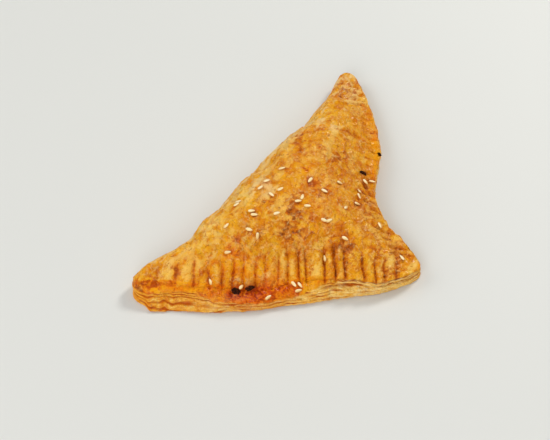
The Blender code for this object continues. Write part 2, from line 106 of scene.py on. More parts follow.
FAN, LIP, STACK, BACK, FOLD = range(len(SECTIONS))

# The shoulder's outline from above, counter-clockwise from the square corner. Each station
# holds x, y, height, stand-out, the share of the side that is smooth skin, and the section.
BACK_EDGE = (
    (5.2, -50, 7.8, 0.8, 0.1, LIP), (8.4, -46.6, 8.4, 0.8, 0.1, LIP), (12.3, -34.6, 10, 1.2, 0.1, BACK),
    (14.6, -25.6, 10.5, 1.2, 0.1, BACK), (19.5, -16.2, 11, 1.2, 0.1, BACK),
    (27.6, -7.9, 11.5, 1.2, 0.1, BACK), (39.2, -1.2, 11.5, 1.2, 0.1, BACK),
    (50.7, 4.8, 11, 1.2, 0.1, BACK), (60.2, 12.8, 10.5, 1.2, 0.1, BACK), (70.5, 22.9, 10, 1, 0.1, BACK),
    (79.3, 33.9, 9.5, 1, 0.1, BACK),
)
TOP_TIP = ((87.5, 45.8, 9.2, 1.2, 0.2, BACK), (85.8, 50.8, 9.5, 1.2, 0.6, BACK))
FOLD_EDGE = (
    (79.2, 49.6, 11, 1.8, 1, FOLD), (66.5, 45, 13, 2.5, 1, FOLD), (52.8, 43.4, 14, 3, 1, FOLD),
    (38.5, 41.4, 14.5, 3.2, 1, FOLD), (30.1, 43, 15.5, 3.4, 1, FOLD), (9, 42.8, 16.5, 3.6, 1, FOLD),
    (-2, 42, 16.5, 3.6, 1, FOLD), (-10, 43, 16.5, 3.6, 1, FOLD), (-28, 41.4, 16, 3.6, 1, FOLD),
    (-39.5, 43, 15.5, 3.4, 1, FOLD), (-49.7, 42.2, 13.5, 3, 1, FOLD), (-59.8, 45, 12.5, 2.5, 1, FOLD),
    (-72.8, 50.5, 11, 2, 1, FOLD),
)
LEFT_TIP = ((-80.4, 50.4, 10, 3.2, 0.55, FOLD), (-83, 48.6, 9.5, 3.8, 0.45, FAN))
FRONT_EDGE = (
    (-80.6, 46, 9.5, 10.2, 0.45, FAN), (-76.6, 41.8, 9.5, 11.4, 0.42, FAN),
    (-73.2, 37.2, 9.5, 11.2, 0.36, FAN), (-69, 29.5, 9.5, 10.1, 0.28, FAN),
    (-62, 18.5, 9.5, 9.5, 0.54, LIP), (-51.5, 1.5, 9.5, 6, 0.64, LIP), (-40, -7, 9.5, 7.4, 0.62, LIP),
    (-30.5, -15.5, 10.5, 8.2, 0.42, LIP), (-21, -29, 11, 4.5, 0.08, STACK),
    (-14.6, -39.8, 9.5, 1.2, 0.08, STACK), (-7.2, -45.4, 9, 0.8, 0.1, STACK),
    (0.6, -49.2, 8.2, 0.8, 0.1, STACK),
)
MIDDLE = (0.6, 1)

# Laminae that show in the side.
LAYERS = 8
LAYER_RELIEF = 0.4
LAYER_SHARPNESS = 3
RAGGED_RELIEF = 0.4
RAGGED_LENGTH = 5
WAVE_SHARE = 0.08
WAVE_LENGTH = 13
WAVE_CHANGE = 8
# Thin sheets in each lamina, the depth of their seams, and how ragged the torn rims are.
THIN_SHEETS = 2.6
THIN_RELIEF = 0.16
THIN_WANDER = 0.5
TORN_RELIEF = 0.3
# How the visible seams wander between the solid's laminae: share of a lamina, and noise.
SEAM_WANDER = ((0.75, (17, 3, 1), 22), (0.3, (5, 3, 1), 23))
FAN_WANDER = 0.3
# How dark the seams are: plain, more at the fanned tip, and their change along the edge.
SEAM_STRENGTH = 0.55
FAN_STRENGTH = 0.4
STRENGTH_CHANGE = 1.1
# Steps in the noise from one seam or sheet to the next, so that neighbours differ.
SEAM_STEP = 3.3
SHEET_STEP = 7.7
# How brown a sheet is: plain, and what its torn rim, a thin sheet, the fan and the stack add.
SHEET_TONES = (0.51, 0.25, 0.35, 0.38, -0.2)
# Where the upper and the lower sheet part at the right of the front, as shares of the way down. The parting
# is cut in and also painted dark as shade.
PARTING = 0.47
PARTING_WANDER = 0.04
PARTING_WIDTH = 0.035
PARTING_DEPTH = 0.9
LOWER_SHEET = 0.55
LOWER_CALM = 0.6
# Border between the smooth skin and the layers, as shares of the way down.
SKIN_EDGE = 0.05
SKIN_WANDER = 0.05
# Round ends of the lands between the fork marks, and the shadowed line under them, which is cut in and also
# painted dark as shadow.
PRESSED_RIM = 3
FINGER_BULGE = 0.7
FINGER_WAY = 0.05
FINGER_RISE = 0.7
LAND_SHARE = 0.6
FOOT_WAY = 0.14
FOOT_WIDTH = 0.05
FOOT_DEPTH = 0.25
FOOT_WANDER = 0.35
# How far down the side, and how far over the top, the fold's pale glaze fades.
FOLD_FADE = 0.6
FOLD_REACH = 9
# Lowest height of the side over the floor.
BASE_LIFT = 0.25

# Dome over the filling.
DOME_HEIGHT = 16
DOME_RUN_FRONT = 29
DOME_RUN_BACK = 31
DOME_RUN_FOLD = 24
DOME_CUT_POWER = 0.8
DOME_FOLD_POWER = 0.7
SHOULDER_BLEND = 0.4

# Fork marks of an edge: its heading, their spaces and depths, and their reach at both ends.
FRONT_MARKS = (
    37.5, (5, 9, 8.5, 7.5, 5.5, 5, 5, 6, 4.5, 6, 4.5, 5.5, 3, 9, 5, 4.5, 9, 5.5, 4, 5.5),
    (0.9, 0.7, 0.7, 1.1, 1.3, 1.1, 1.3, 1.3, 0.9, 1.1, 1.1, 1.3, 1.7, 1.9, 1.9, 1.9, 1.7, 1.7, 1.3, 0.9),
    (10.5, 15.5),
)
BACK_MARKS = (130, (4.6,) * 26, (1.1,) * 26, (9, 9))
MARK_ROUNDNESS = 0.75
MARK_REACH_CHANGE = 2.5
MARK_REACH_LENGTH = 7
MARK_FADE = 5
MARK_DROP = 0.55
MARK_CORNER = 12
MARK_WANDER = 1.2
MARK_WANDER_LENGTH = 9
MARK_WANDER_RISE = 9
# Half the width of the painted shade along a mark's bottom, as a share of its land.
HOLLOW_SHARE = 0.42

# Blisters of the crust: height and width of each size, as in the solid, and the finer ones.
BLISTERS = ((0.7, 11), (0.45, 5))
BLISTER_MARGIN = 5
FINE_BLISTERS = ((0.6, 4.4, 31), (0.42, 2.2, 32), (0.2, 1.2, 33))
WRINKLE_HEIGHT = 0.65
WRINKLE_SHARPNESS = 4
# Edges of thin flakes: height, width of the flakes, and how many edges cross them.
FLAKES = ((0.55, 13, 2.8), (0.4, 6.5, 1.8))
FLAKE_DRAW = 36
# The finer noise in the course of a flake's edge: share and width.
FLAKE_WANDER = ((0.3, 2.6), (0.12, 1.2))
# Across a flake, as shares: its sharp edge, and the place and width of the pale rim beside it, which is
# partly a painted highlight.
FLAKE_EDGE = 0.12
# The painted shade at the foot of a flake's edge, below and above it.
FLAKE_FOOT = (0.05, 0.06)
RIM_WAY = 0.14
RIM_WIDTH = 0.08
# The relief is weaker on the crimped edge, where fine streaks cross it.
CRIMP_CALM = 0.6
STREAK_RELIEF = 0.16
# What is taken off the relief, so that the crust keeps the solid's height.
RELIEF_MEAN = 0.8
BASE_MARGIN = 0.3
SKIN_MARGIN = 2.5
EDGE_RELIEF = 0.3
# Creases and ridges of the crust: width, depth (below 0 for a ridge), and points x, y.
CREASES = (
    (1.3, 0.8, (22.6, 37), (26, 33.4), (32.9, 29.2), (38.4, 24), (44.6, 20.2), (47.1, 16.3)),
    (1.2, 0.35, (12.4, 27), (16.2, 22.6), (21.9, 19.5)),
    (0.8, 0.45, (74.7, 48.2), (77, 44.1), (81.6, 40.7)),
    (0.8, 0.45, (69.9, 46.8), (71.9, 41.9), (78.2, 37.1)),
    (0.9, 0.5, (64, 43.9), (66.8, 38.3), (74.7, 34.1)),
    (0.8, 0.4, (56.7, 40.7), (60.3, 34.4), (71.6, 30.6)),
    (0.8, 0.35, (50.8, 38.3), (57.1, 30.3), (68.3, 27.1)),
    (0.8, 0.55, (23.2, -2), (21.5, -7.5), (21.5, -11.8)),
    (0.8, 0.55, (26.5, -2.1), (24.5, -7.9), (23.4, -13.6)),
    (0.8, 0.55, (19.2, -8.5), (18.1, -14.1), (17.8, -19.7)),
    (0.8, 0.5, (13.7, -12.8), (13.2, -18.6), (14.4, -23.8)),
    (0.8, 0.45, (7.3, -17.7), (7.8, -23.4), (10.1, -30.2)),
    (0.7, 0.4, (7.1, -29.8), (9.6, -33.5)),
    (0.7, 0.45, (3.5, -33.4), (7, -36.4), (10.2, -41.3)),
    (0.7, 0.45, (1.2, -36.2), (4.8, -39.6), (8, -45.1)),
    (0.7, 0.5, (-9.7, -41.1), (-4.7, -43.9), (0.1, -46.4), (5, -49.4)),
    (1, 0.3, (-58.3, 28.1), (-52.4, 22.5), (-47.4, 15.8), (-39.9, 8.5), (-31.6, 1.4)),
    (1.3, 0.4, (-31.6, 1.4), (-24.8, -5.2), (-19.4, -11.1), (-14.3, -17.9), (-8.2, -25.1), (-1.1, -34.2)),
    (0.8, 0.4, (-78.3, 51.5), (-77.1, 46.3), (-74.9, 42)),
    (1, 0.5, (-47.5, 40), (-46.5, 34)),
    (1, 0.4, (18.5, 38), (19.5, 31)),
)
CREASE_WANDER = 0.56
# The bank beside a crease: its distance in widths, and its share of the depth.
BANK_WAY = 2.2
BANK_SHARE = 0.45
FULL_CREASE = 0.6
# Blisters that stand out alone: x, y, radius and height.
LONE_BLISTERS = (
    (56.7, 27.4, 4.8, 0.75), (-24.2, 26.7, 4, 0.5), (-44.5, 32.9, 4.5, 0.6), (-51, 33.7, 4, 0.5),
    (-12, 30.5, 5, 0.5), (12, 31, 5.5, 0.5), (36, 33, 4, 0.4),
)
BLISTER_WANDER = 0.12
BLISTER_FLAT = 0.75
BLISTER_WALL = 0.32
BLISTER_DIMPLE = 0.4

# Sesame seeds. Each patch holds its middle x and y, and its radius and how many seeds it has
# unless it has one seed within a millimetre.
SEED_SIZE = (3.4, 2, 1.1)
SEED_TAPER = 0.35
SEED_SINK = 0.3
SEED_GAP = 3.2
SEED_GAP_EASE = 0.99
SEED_HALO = 0.24
SEED_HEADING = -52
SEED_HEADING_CHANGE = 50
SEED_DRAW = 50475
SEED_PATCHES = (
    (-28, 32, 1.4, 2), (-14, 28.2, 3, 2), (-13.3, 20.2, 3.6, 2), (-0.9, 26.3), (2, 12.1),
    (-8.8, 9.9, 2.8, 2), (-10, 4.4), (1.7, 3.8), (13.7, 3.7), (18.2, -5.1, 3.2, 2), (30.4, -3.2, 2, 2),
    (11.7, -8.9), (3.3, -8.9), (-9.9, -6.5, 1.4, 2), (-29.7, 21.2, 1.6, 2), (-22.5, 13.1),
    (-41.5, 28.2), (-38.9, 15.2, 4.2, 2), (-49.6, 21.1), (-9.3, -17.6), (-20.9, -14.9), (9.7, -24.4),
    (2.6, -41), (-62.8, 22.6), (-55.3, 8.5, 0.8, 1), (-39.6, -10.4, 2.6, 3), (-51.1, -4.7),
)

# Scorched bits of filling: x, y, length, width, height and heading.
SCORCHED_BITS = (
    (-58.9, 9.2, 4.6, 3, 1.4, -87),
    (-54.1, 4.7, 4.6, 2.2, 1.2, -37),
    (32.2, 1.3, 3.6, 2, 1.4, -52),
    (49.6, 3.3, 2.4, 1.8, 1.5, 40),
)
BIT_SINK = 0.4
BIT_LUMPS = 0.35
# Where a seed or bit touches the crust along its length, and how high the search for it starts.
TOUCHES = (-0.3, 0, 0.3)
SEARCH_HEIGHT = 48

# Browning of the skin and painted shade on it, 0 where it is pale and 1 where it is dark: plain, and what
# each form adds. The hollows, creases, flanks and the feet of flakes add painted shade, and the flanks a
# painted highlight on the lands' tops.
TOAST = 0.36
FOLD_TOAST = -0.26
FLANK_SHADING = 0.14
HOLLOW_SHADE = 0.3
CREASE_SHADE = 0.2
BLISTER_TOAST = 0.22
WRINKLE_TOAST = 0.1
FLAKE_SHADE = 0.13
BROAD_TOAST = 0.1
LIP_OIL = 0.85
# Patches of the crust that baked darker (above 0) or paler (below 0): x, y, radius, change.
TOAST_PATCHES = (
    (6.6, 17.3, 2.3, 0.35), (2.3, 11, 2.6, 0.4), (-17.6, 6.2, 7, 0.28), (-25.4, 3.2, 5.5, 0.15),
    (14.5, -16.6, 6, 0.06), (0.4, 1.9, 5, 0.12), (23.1, 9.2, 9, 0.1), (-21.2, 21.2, 1.8, 0.4),
    (20.5, 31.8, 4.5, 0.25), (-45.5, 19.5, 4, 0.2), (-41.5, 4, 8, -0.06), (-67.5, 39, 6, 0.13),
    (37, 32, 9, -0.14), (-46.5, 31.8, 8, -0.1), (-82, 46, 5, 0.3), (-79, 41, 6, 0.2),
    (-13.5, -20.2, 9, 0.12), (-1.8, -38.3, 8, 0.1), (-24, 33, 8, -0.2), (-44, 34, 6, -0.15),
    (12, 31, 5, -0.1), (42.9, 37, 6, -0.15), (56.7, 27.4, 4, -0.1), (73, 44, 10, 0.22),
)
# Patches with a paler, straw-coloured glaze.
PALE_PATCHES = ((40, 34, 13, 1), (72, 44, 12, 0.7), (-15, 27, 9, 0.8))
# Patches soaked with orange oil, and patches stained by the filling that boiled out.
OIL_PATCHES = (
    (-49.2, 11.5, 6, 0.9), (-43.2, 1.3, 6, 0.8), (-52.6, 20.6, 6, 0.5), (-46, 20, 5, 0.5),
    (-58.6, 25, 6, 0.5), (-66.2, 36.9, 8, 0.4), (36.7, -4.2, 4.5, 0.8), (41.6, -1.6, 4.5, 0.9),
    (47, 2, 4.5, 0.9), (52.8, 4.9, 5, 0.9), (56.3, 11, 5, 0.8), (64, 18, 6, 0.7), (71, 26, 5, 0.5),
    (-34, -8, 6, 0.3), (6.6, 17.3, 3, 0.5), (2.3, 11, 3, 0.5), (0, 0, 20, 0.35), (14, -2, 10, 0.3),
)
STAIN_PATCHES = (
    (-68.8, 20.5, 4, 0.4), (-65.6, 17, 4, 0.45), (-62.5, 11.5, 4.5, 0.6), (-58.8, 6.9, 4.5, 1),
    (-57.4, 2.2, 4, 0.9), (-53.2, 1.5, 4.5, 1), (-48.9, -3.5, 4.5, 0.9), (-44.4, -7.5, 4, 0.75),
    (-41.4, -10, 3.5, 0.5), (-52.3, 14.7, 1.6, 0.5),
)
# Crust that is burnt brown around the scorched bits.
BURNT_PATCHES = (
    (-58.9, 9.2, 2.9, 0.85), (-55, 6.4, 2.2, 0.5), (-52.6, 3.6, 2.6, 0.85), (-49, 0.5, 2.2, 0.2),
    (32.2, 1.3, 2, 0.5),
)

# How much the patches change from spot to spot, and how dark the painted shade in the fork marks' hollows is.
MOTTLE_GAIN = 1.6
LEAST_MOTTLE = 0.3
MORE_MOTTLE = 1.4
BURNT_LEVEL = 0.8
BURNT_CHANGE = 0.5
STAIN_CHANGE = 0.3
HOLLOW_DARK = 0.4

# Masks that the crust's colours are read from.
CRUST_MASKS = (
    "layered", "lamina", "thin", "strength", "gap", "sheet", "browning_and_shade", "rim", "oil", "stain", "fold", "flank"
)

# Colours as a screen shows them. The rows of a ramp hold a place, red, green and blue.
SKIN_RAMP = (
    (0, 250, 202, 96), (0.2, 244, 174, 28), (0.42, 230, 146, 8), (0.64, 208, 110, 0), (0.84, 172, 84, 3),
    (1, 132, 58, 2),
)
OILY_RAMP = ((0.3, 246, 164, 10), (0.55, 236, 128, 0), (0.8, 196, 84, 0))
STAIN_RAMP = ((0.35, 240, 116, 0), (0.5, 218, 86, 0), (0.65, 166, 50, 0))
LAYER_RAMP = ((0.2, 255, 234, 170), (0.42, 255, 214, 118), (0.6, 248, 182, 60), (0.8, 222, 128, 12))
SEED_SHADING_RAMP = ((0.35, 190, 118, 36), (0.6, 234, 184, 104), (0.85, 250, 218, 150), (1, 255, 236, 186))
BIT_RAMP = ((0.35, 24, 9, 3), (0.55, 52, 20, 5), (0.75, 104, 42, 8))
BLUSH = (214, 106, 10)
STRAW = (251, 199, 90)
CREAM = (247, 206, 130)
GLINT = (254, 210, 120)
# Pale rims of flakes, partly a painted highlight.
RIM_AND_HIGHLIGHT = (252, 214, 136)
CRACK = (186, 92, 4)
PIT = (178, 84, 4)
SEAM = (196, 88, 0)
THIN_SEAM = (226, 136, 16)
SOAKED_LAYER = (206, 98, 4)
# Dark brown of burnt crust, also used as painted shade in the parting, under the fingers and in the fork
# marks' hollows.
BURNT_AND_SHADE = (148, 52, 0)

# Noises of the colours: the width of their bumps, and their detail, roughness and distortion.
# Where a second row follows, it holds the range that is read, and what its two ends give.
BROAD_TONE = (7, 3, 0.5, 0.6)
SMALL_TONE = (2.6, 2, 0.5, 1.4)
TINY_TONE = (0.9, 1, 0.5, 0.5)
STRAW_TONE = (9, 4, 0.56, 1.6)
CRACK_TONE = (3.6, 2, 0.5, 1.5)
FIBRE_TONE = (1.6, 3, 0.6, 0)
BLUSH_SPOTS = (4.5, 2, 0.5, 1), (0.54, 0.62, 0, 0.4)
GLINT_SPOTS = (1.3, 2, 0.5, 1.5), (0.63, 0.68, 0, 0.35)
PIT_SPOTS = (1.5, 1, 0.5, 0.8), (0.64, 0.7, 0, 0.5)
SEED_GLOSS = (0.6, 2), (0.3, 0.7, 0.34, 0.5)
BIT_GLOSS = (0.7, 2), (0.3, 0.7, 0.5, 0.85)
# Ranges of the other noises and masks, in the same way.
VEINY_REACH = (0.34, 0.64, 0.3, 1.4)
STRAW_REACH = (0.46, 0.6)
STRAW_TOAST_REACH = (0.42, 0.7, 1, 0.25)
CREAM_REACH = (0.3, 0.9)
RIM_REACH = (0.42, 0.6, 0.1, 0.65)
CRACK_REACH = (0, 0.02, 0.22, 0)
CRACKED_REACH = (0.48, 0.6)
THIN_REACH = (0.1, 0.4)
SEAM_REACH = (0.08, 0.31)
OIL_REACH = (0.35, 0.55, 0.8, 1)
STAIN_REACH = (0.3, 0.55, 0.6, 1)
DULL_REACH = (0.3, 0.7, 0.46, 0.62)
# Shares of the small, tiny and scaly tones in the skin's mottling, and of the broad and flaky ones.
FINE_MOTTLE = (0.5, 0.16, 0.16)
COARSE_MOTTLE = (0.45, 0.26)
# Sizes of the flakes and scales of the skin, and how far they are pushed about.
FLAKE_SIZE = 5
SCALE_SIZE = 2.1
SCALE_PUSH = (2.2, 4)
STREAK_STRETCH = (0.4, 1, 1)
STREAK_PUSH = (1.5, 3)
FIBRE_STRETCH = (1, 1, 4)

# Size of the facets.
OUTLINE_STEPS = 24
NEAREST_STEPS = 700
NEAREST_CHUNK = 4000
TANGENT_REACH = 1.2
MERGE_DISTANCE = 0.0001
FRONT_PITCH = 0.5
BACK_PITCH = 0.75
FOLD_PITCH = 0.9
SIDE_ROWS = 61
TOP_PITCH = 0.47
TOP_MARGIN = 0.33
BASE_INSET = 0.6
BASE_STEP = 12
ROW_DROP = 0.02
SEED_FACETS = (14, 10)
BIT_FACETS = (20, 14)

# Lattices of random numbers behind the noise, and which one each relief reads.
NOISE_CELLS = 64
BLISTER_DRAW = 0
WANDER_DRAW = 3
RAGGED_DRAW = 4
WAVE_DRAW = 5
REACH_DRAW = 6

# Fine noise: the width of its bumps, alike in all directions or in each of three, and its draw.
GRAIN_CELLS = 256
GRAIN_GAIN = 1.7
BORDER_NOISE = (4, 21)
TORN_NOISE = ((2.3, 5, 1), 23)
THIN_TORN_NOISE = ((3.68, 5, 1), 24)
STRENGTH_NOISE = ((8, 1, 1), 25)
THIN_NOISE = ((6, 1, 1), 26)
PARTING_NOISE = ((9, 90, 1), 27)
FOOT_NOISE = (6, 28)
FOOT_BREAK_NOISE = (3, 29)
WRINKLE_NOISE = (4.6, 35)
CREASE_NOISES = ((5, 45), (5, 46))
BLISTER_NOISE = (3, 47)
STREAK_NOISE = ((1.3, 9, 9), 48)
BROAD_NOISE = (9, 51)
BIT_NOISE = (1.1, 51)
STAIN_NOISE = (3.5, 54)
MOTTLE_NOISE = (2.4, 55)
BURNT_NOISE = (1.6, 56)


def smooth_step(value):
    """0 below 0, 1 above 1, and a soft rise between."""
    share = np.clip(value, 0, 1)
    return share * share * (3 - 2 * share)


def bell(value):
    """1 at 0, and a smooth fall to 0 on both sides."""
    return np.exp(-(value**2))


def closed_curve(points, steps):
    """A smooth closed curve through the rows of points, with so many steps to each span."""
    before, after = np.roll(points, 1, axis=0), np.roll(points, -1, axis=0)
    beyond = np.roll(points, -2, axis=0)
    slope = after - before
    bend = 2 * before - 5 * points + 4 * after - beyond
    twist = 3 * points - before - 3 * after + beyond
    curve = [
        points + 0.5 * (slope * share + bend * share**2 + twist * share**3)
        for share in np.arange(steps) / steps
    ]
    return np.stack(curve, axis=1).reshape(-1, points.shape[1])


def bumps(x, y, width, draw):
    """Smooth noise from -1 to 1, with bumps of about the given width."""
    lattice = np.random.RandomState(draw).uniform(-1, 1, (NOISE_CELLS, NOISE_CELLS))
    column, row = np.floor(x / width).astype(int), np.floor(y / width).astype(int)
    across, along = smooth_step(x / width - column), smooth_step(y / width - row)

    def lattice_row(offset):
        left = lattice[(row + offset) % NOISE_CELLS, column % NOISE_CELLS]
        right = lattice[(row + offset) % NOISE_CELLS, (column + 1) % NOISE_CELLS]
        return left * (1 - across) + right * across

    return lattice_row(0) * (1 - along) + lattice_row(1) * along


def grain(points, width, draw):
    """Smooth noise of about -1 to 1 in space, free of the lattice's directions."""
    numbers = np.random.RandomState(draw)
    order = numbers.permutation(GRAIN_CELLS)
    slopes = numbers.normal(size=(GRAIN_CELLS, 3))
    slopes /= np.linalg.norm(slopes, axis=1, keepdims=True)
    scaled = points / np.asarray(width, float)
    cells = np.floor(scaled).astype(int)
    parts = scaled - cells
    ease = parts**3 * (parts * (parts * 6 - 15) + 10)
    total = np.zeros(points.shape[:-1])
    for corner in np.ndindex(2, 2, 2):
        at = (cells + corner) % GRAIN_CELLS
        pick = order[(at[..., 0] + order[(at[..., 1] + order[at[..., 2]]) % GRAIN_CELLS]) % GRAIN_CELLS]
        rise = ((parts - corner) * slopes[pick]).sum(axis=-1)
        total += rise * np.where(corner, ease, 1 - ease).prod(axis=-1)
    return GRAIN_GAIN * total


def table_rows(position, places, table):
    """Rows of a table at positions between its places."""
    return np.stack([np.interp(position, places, column) for column in table.T], axis=-1)


class Outline:
    """The shoulder as a closed curve, measured in millimetres along it."""

    def __init__(self, *edges):
        stations = np.concatenate(edges)
        counts = np.cumsum([0] + [len(edge) for edge in edges])
        curve = closed_curve(stations[:, :4], OUTLINE_STEPS)
        self.curve = np.vstack([curve, curve[:1]])
        hops = np.linalg.norm(np.diff(self.curve[:, :2], axis=0), axis=1)
        self.length = np.concatenate([[0], np.cumsum(hops)])
        self.total = self.length[-1]
        self.station_at = self.length[::OUTLINE_STEPS]
        self.edge_ends = self.station_at[counts]
        section = np.eye(len(SECTIONS))[stations[:, 5].astype(int)]
        finish = np.column_stack([stations[:, 4], section])
        self.finish = np.vstack([finish, finish[:1]])

    def at(self, position):
        """x, y, height and stand-out at positions along the outline."""
        return table_rows(np.mod(position, self.total), self.length, self.curve)

    def finish_at(self, position):
        """Skin share, and the weights of the sections, at positions along the outline."""
        finish = table_rows(position, self.station_at, self.finish)
        return finish[..., 0], finish[..., 1:]

    def outward(self, position):
        """Unit vectors square to the outline, pointing away from the filling."""
        behind, ahead = self.at(position - TANGENT_REACH), self.at(position + TANGENT_REACH)
        along = (ahead - behind)[..., :2]
        along /= np.linalg.norm(along, axis=-1, keepdims=True)
        return np.stack([along[..., 1], -along[..., 0]], axis=-1)

    def nearest(self, points, start, end):
        """Distance from points to a stretch of the outline, and the nearest position on it."""
        positions = np.linspace(start, end, NEAREST_STEPS)
        stretch = self.at(positions)[:, :2]
        found = []
        for chunk in np.array_split(points, len(points) // NEAREST_CHUNK + 1):
            away = np.linalg.norm(chunk[:, None] - stretch, axis=-1)
            found.append((away.min(axis=1), positions[away.argmin(axis=1)]))
        return np.concatenate(found, axis=1)

    def holds(self, points):
        """Which of the points lie inside the outline."""
        start, end = self.curve[:-1, :2], self.curve[1:, :2]
        inside = np.zeros(len(points), bool)
        for (x0, y0), (x1, y1) in zip(start, end):
            if y0 == y1:
                continue
            spans = (y0 > points[:, 1]) != (y1 > points[:, 1])
            crossing = x0 + (points[:, 1] - y0) / (y1 - y0) * (x1 - x0)
            inside ^= spans & (points[:, 0] < crossing)
        return inside


class ForkedEdge:
    """A cut edge that was pressed with a fork, and the marks across it."""

    def __init__(self, start, heading, spaces, depths, reach):
        self.depths, self.reach = depths, reach
        turn = math.radians(heading)
        self.square = np.array([math.sin(turn), -math.cos(turn)])
        self.marks = OUTLINE.at(start)[:2] @ self.square + np.cumsum(spaces)

    def offset(self, points, gap):
        """Distance of the points across the marks, which wander a little further in."""
        rise = MARK_WANDER * smooth_step(gap / MARK_WANDER_RISE)
        return points @ self.square + rise * bumps(*points.T, MARK_WANDER_LENGTH, WANDER_DRAW)

    def land(self, offset):
        """0 in the middle of a mark, and up to 1 on the round lands between the marks."""
        first = 1.5 * self.marks[0] - 0.5 * self.marks[1]
        last = 1.5 * self.marks[-1] - 0.5 * self.marks[-2]
        bounds = np.concatenate([[first], self.marks, [last]])
        phases = np.concatenate([[0.5], np.arange(len(self.marks)) + 1, [len(self.marks) + 0.5]])
        return np.abs(np.sin(math.pi * np.interp(offset, bounds, phases)))

    def pressed(self, offset, gap):
        """1 where the fork reached, and 0 further in."""
        change = bumps(offset, 0 * offset, MARK_REACH_LENGTH, REACH_DRAW)
        reach = np.interp(offset, self.marks[[0, -1]], self.reach) + MARK_REACH_CHANGE * change
        return smooth_step((reach - gap) / MARK_FADE)

    def grooves(self, points, gap):
        """Depth of the narrow grooves, and 1 along their bottoms, where shade is painted."""
        offset = self.offset(points, gap)
        depth = np.interp(offset, self.marks, self.depths)
        land, pressed = self.land(offset), self.pressed(offset, gap)
        line = np.clip(1 - land / HOLLOW_SHARE, 0, 1)
        painted_shade = (0.4 + 0.6 * depth / max(self.depths)) * line * pressed
        return depth * (1 - land**MARK_ROUNDNESS) * pressed, painted_shade


OUTLINE = Outline(BACK_EDGE, TOP_TIP, FOLD_EDGE, LEFT_TIP, FRONT_EDGE)
BACK_START, BACK_END, FOLD_START, FOLD_END, FRONT_START, FRONT_END = OUTLINE.edge_ends
FRONT_FORKED = ForkedEdge(FRONT_START, *FRONT_MARKS)
BACK_FORKED = ForkedEdge(BACK_START, *BACK_MARKS)


def fork_marks(points, back_gap, front_gap):
    """Depth of the fork marks, and how much of the painted shade along a mark's bottom the points see."""
    fade = smooth_step(np.linalg.norm(points - BACK_EDGE[0][:2], axis=1) / MARK_CORNER)
    back, back_dark = BACK_FORKED.grooves(points, back_gap)
    front, front_dark = FRONT_FORKED.grooves(points, front_gap)
    return fade * np.maximum(back, front), fade * np.maximum(0.4 * back_dark, front_dark)


def crust_top(points):
    """Height of the crust over the points, and the masks there."""
    edges = (BACK_START, BACK_END), (BACK_END, FRONT_START), (FRONT_START, FRONT_END)
    gaps, places = np.stack([OUTLINE.nearest(points, *edge) for edge in edges], axis=1)
    back_gap, fold_gap, front_gap = gaps
    pull = 1 / (gaps + SHOULDER_BLEND) ** 2
    shoulder = (pull * OUTLINE.at(places)[..., 2]).sum(axis=0) / pull.sum(axis=0)
    quarter_turn = 0.5 * math.pi * np.clip(fold_gap / DOME_RUN_FOLD, 0, 1)
    swell = (
        smooth_step(back_gap / DOME_RUN_BACK) ** DOME_CUT_POWER
        * smooth_step(front_gap / DOME_RUN_FRONT) ** DOME_CUT_POWER
        * np.sin(quarter_turn) ** DOME_FOLD_POWER
    )
    inside = smooth_step(gaps.min(axis=0) / BLISTER_MARGIN)
    blisters = sum(
        rise * bumps(*points.T, width, BLISTER_DRAW + size)
        for size, (rise, width) in enumerate(BLISTERS)
    )
    grooves, hollow = fork_marks(points, back_gap, front_gap)
    offset = FRONT_FORKED.offset(points, front_gap)
    crimp = FRONT_FORKED.pressed(offset, front_gap)
    masks = {
        "hollow": hollow,
        "flank": crimp * (LAND_SHARE - FRONT_FORKED.land(offset)),
        "fold": np.exp(-fold_gap / FOLD_REACH),
        "crimp": crimp,
        "inside": smooth_step(gaps.min(axis=0) / SKIN_MARGIN),
    }
    return shoulder + DOME_HEIGHT * swell + inside * blisters - grooves, masks


def side_columns():
    """Positions of the side's columns, no wider apart at its foot than each edge's pitch."""
    ends = BACK_START, FOLD_START, FOLD_END, FRONT_END
    columns = []
    for start, end, pitch in zip(ends, ends[1:], (BACK_PITCH, FOLD_PITCH, FRONT_PITCH)):
        span = np.linspace(start, end, NEAREST_STEPS)
        station = OUTLINE.at(span)
        foot = station[:, :2] + OUTLINE.outward(span) * station[:, 3:]
        widths = np.linalg.norm(np.diff(foot, axis=0), axis=1)
        run = np.concatenate([[0], np.cumsum(np.maximum(widths, np.diff(span)))])
        steps = math.ceil(run[-1] / pitch)
        columns.append(np.interp(np.linspace(0, run[-1], steps + 1)[:-1], run, span))
    return np.concatenate(columns)


def side_form(columns, way):
    """Reach and height of the plain side as shares, and the weights of its sections."""
    skin, weights = OUTLINE.finish_at(columns)
    out, up = (
        sum(weight * np.interp(way, form[0], form[row]) for weight, form in zip(weights.T, SECTIONS))
        for row in (1, 2)
    )
    return skin, weights, out, up


def side_spots(along, across):
    """Where the side's noise is read: along the edge, and across its seams or sheets."""
    return np.stack(np.broadcast_arrays(along, across, 0), axis=-1)


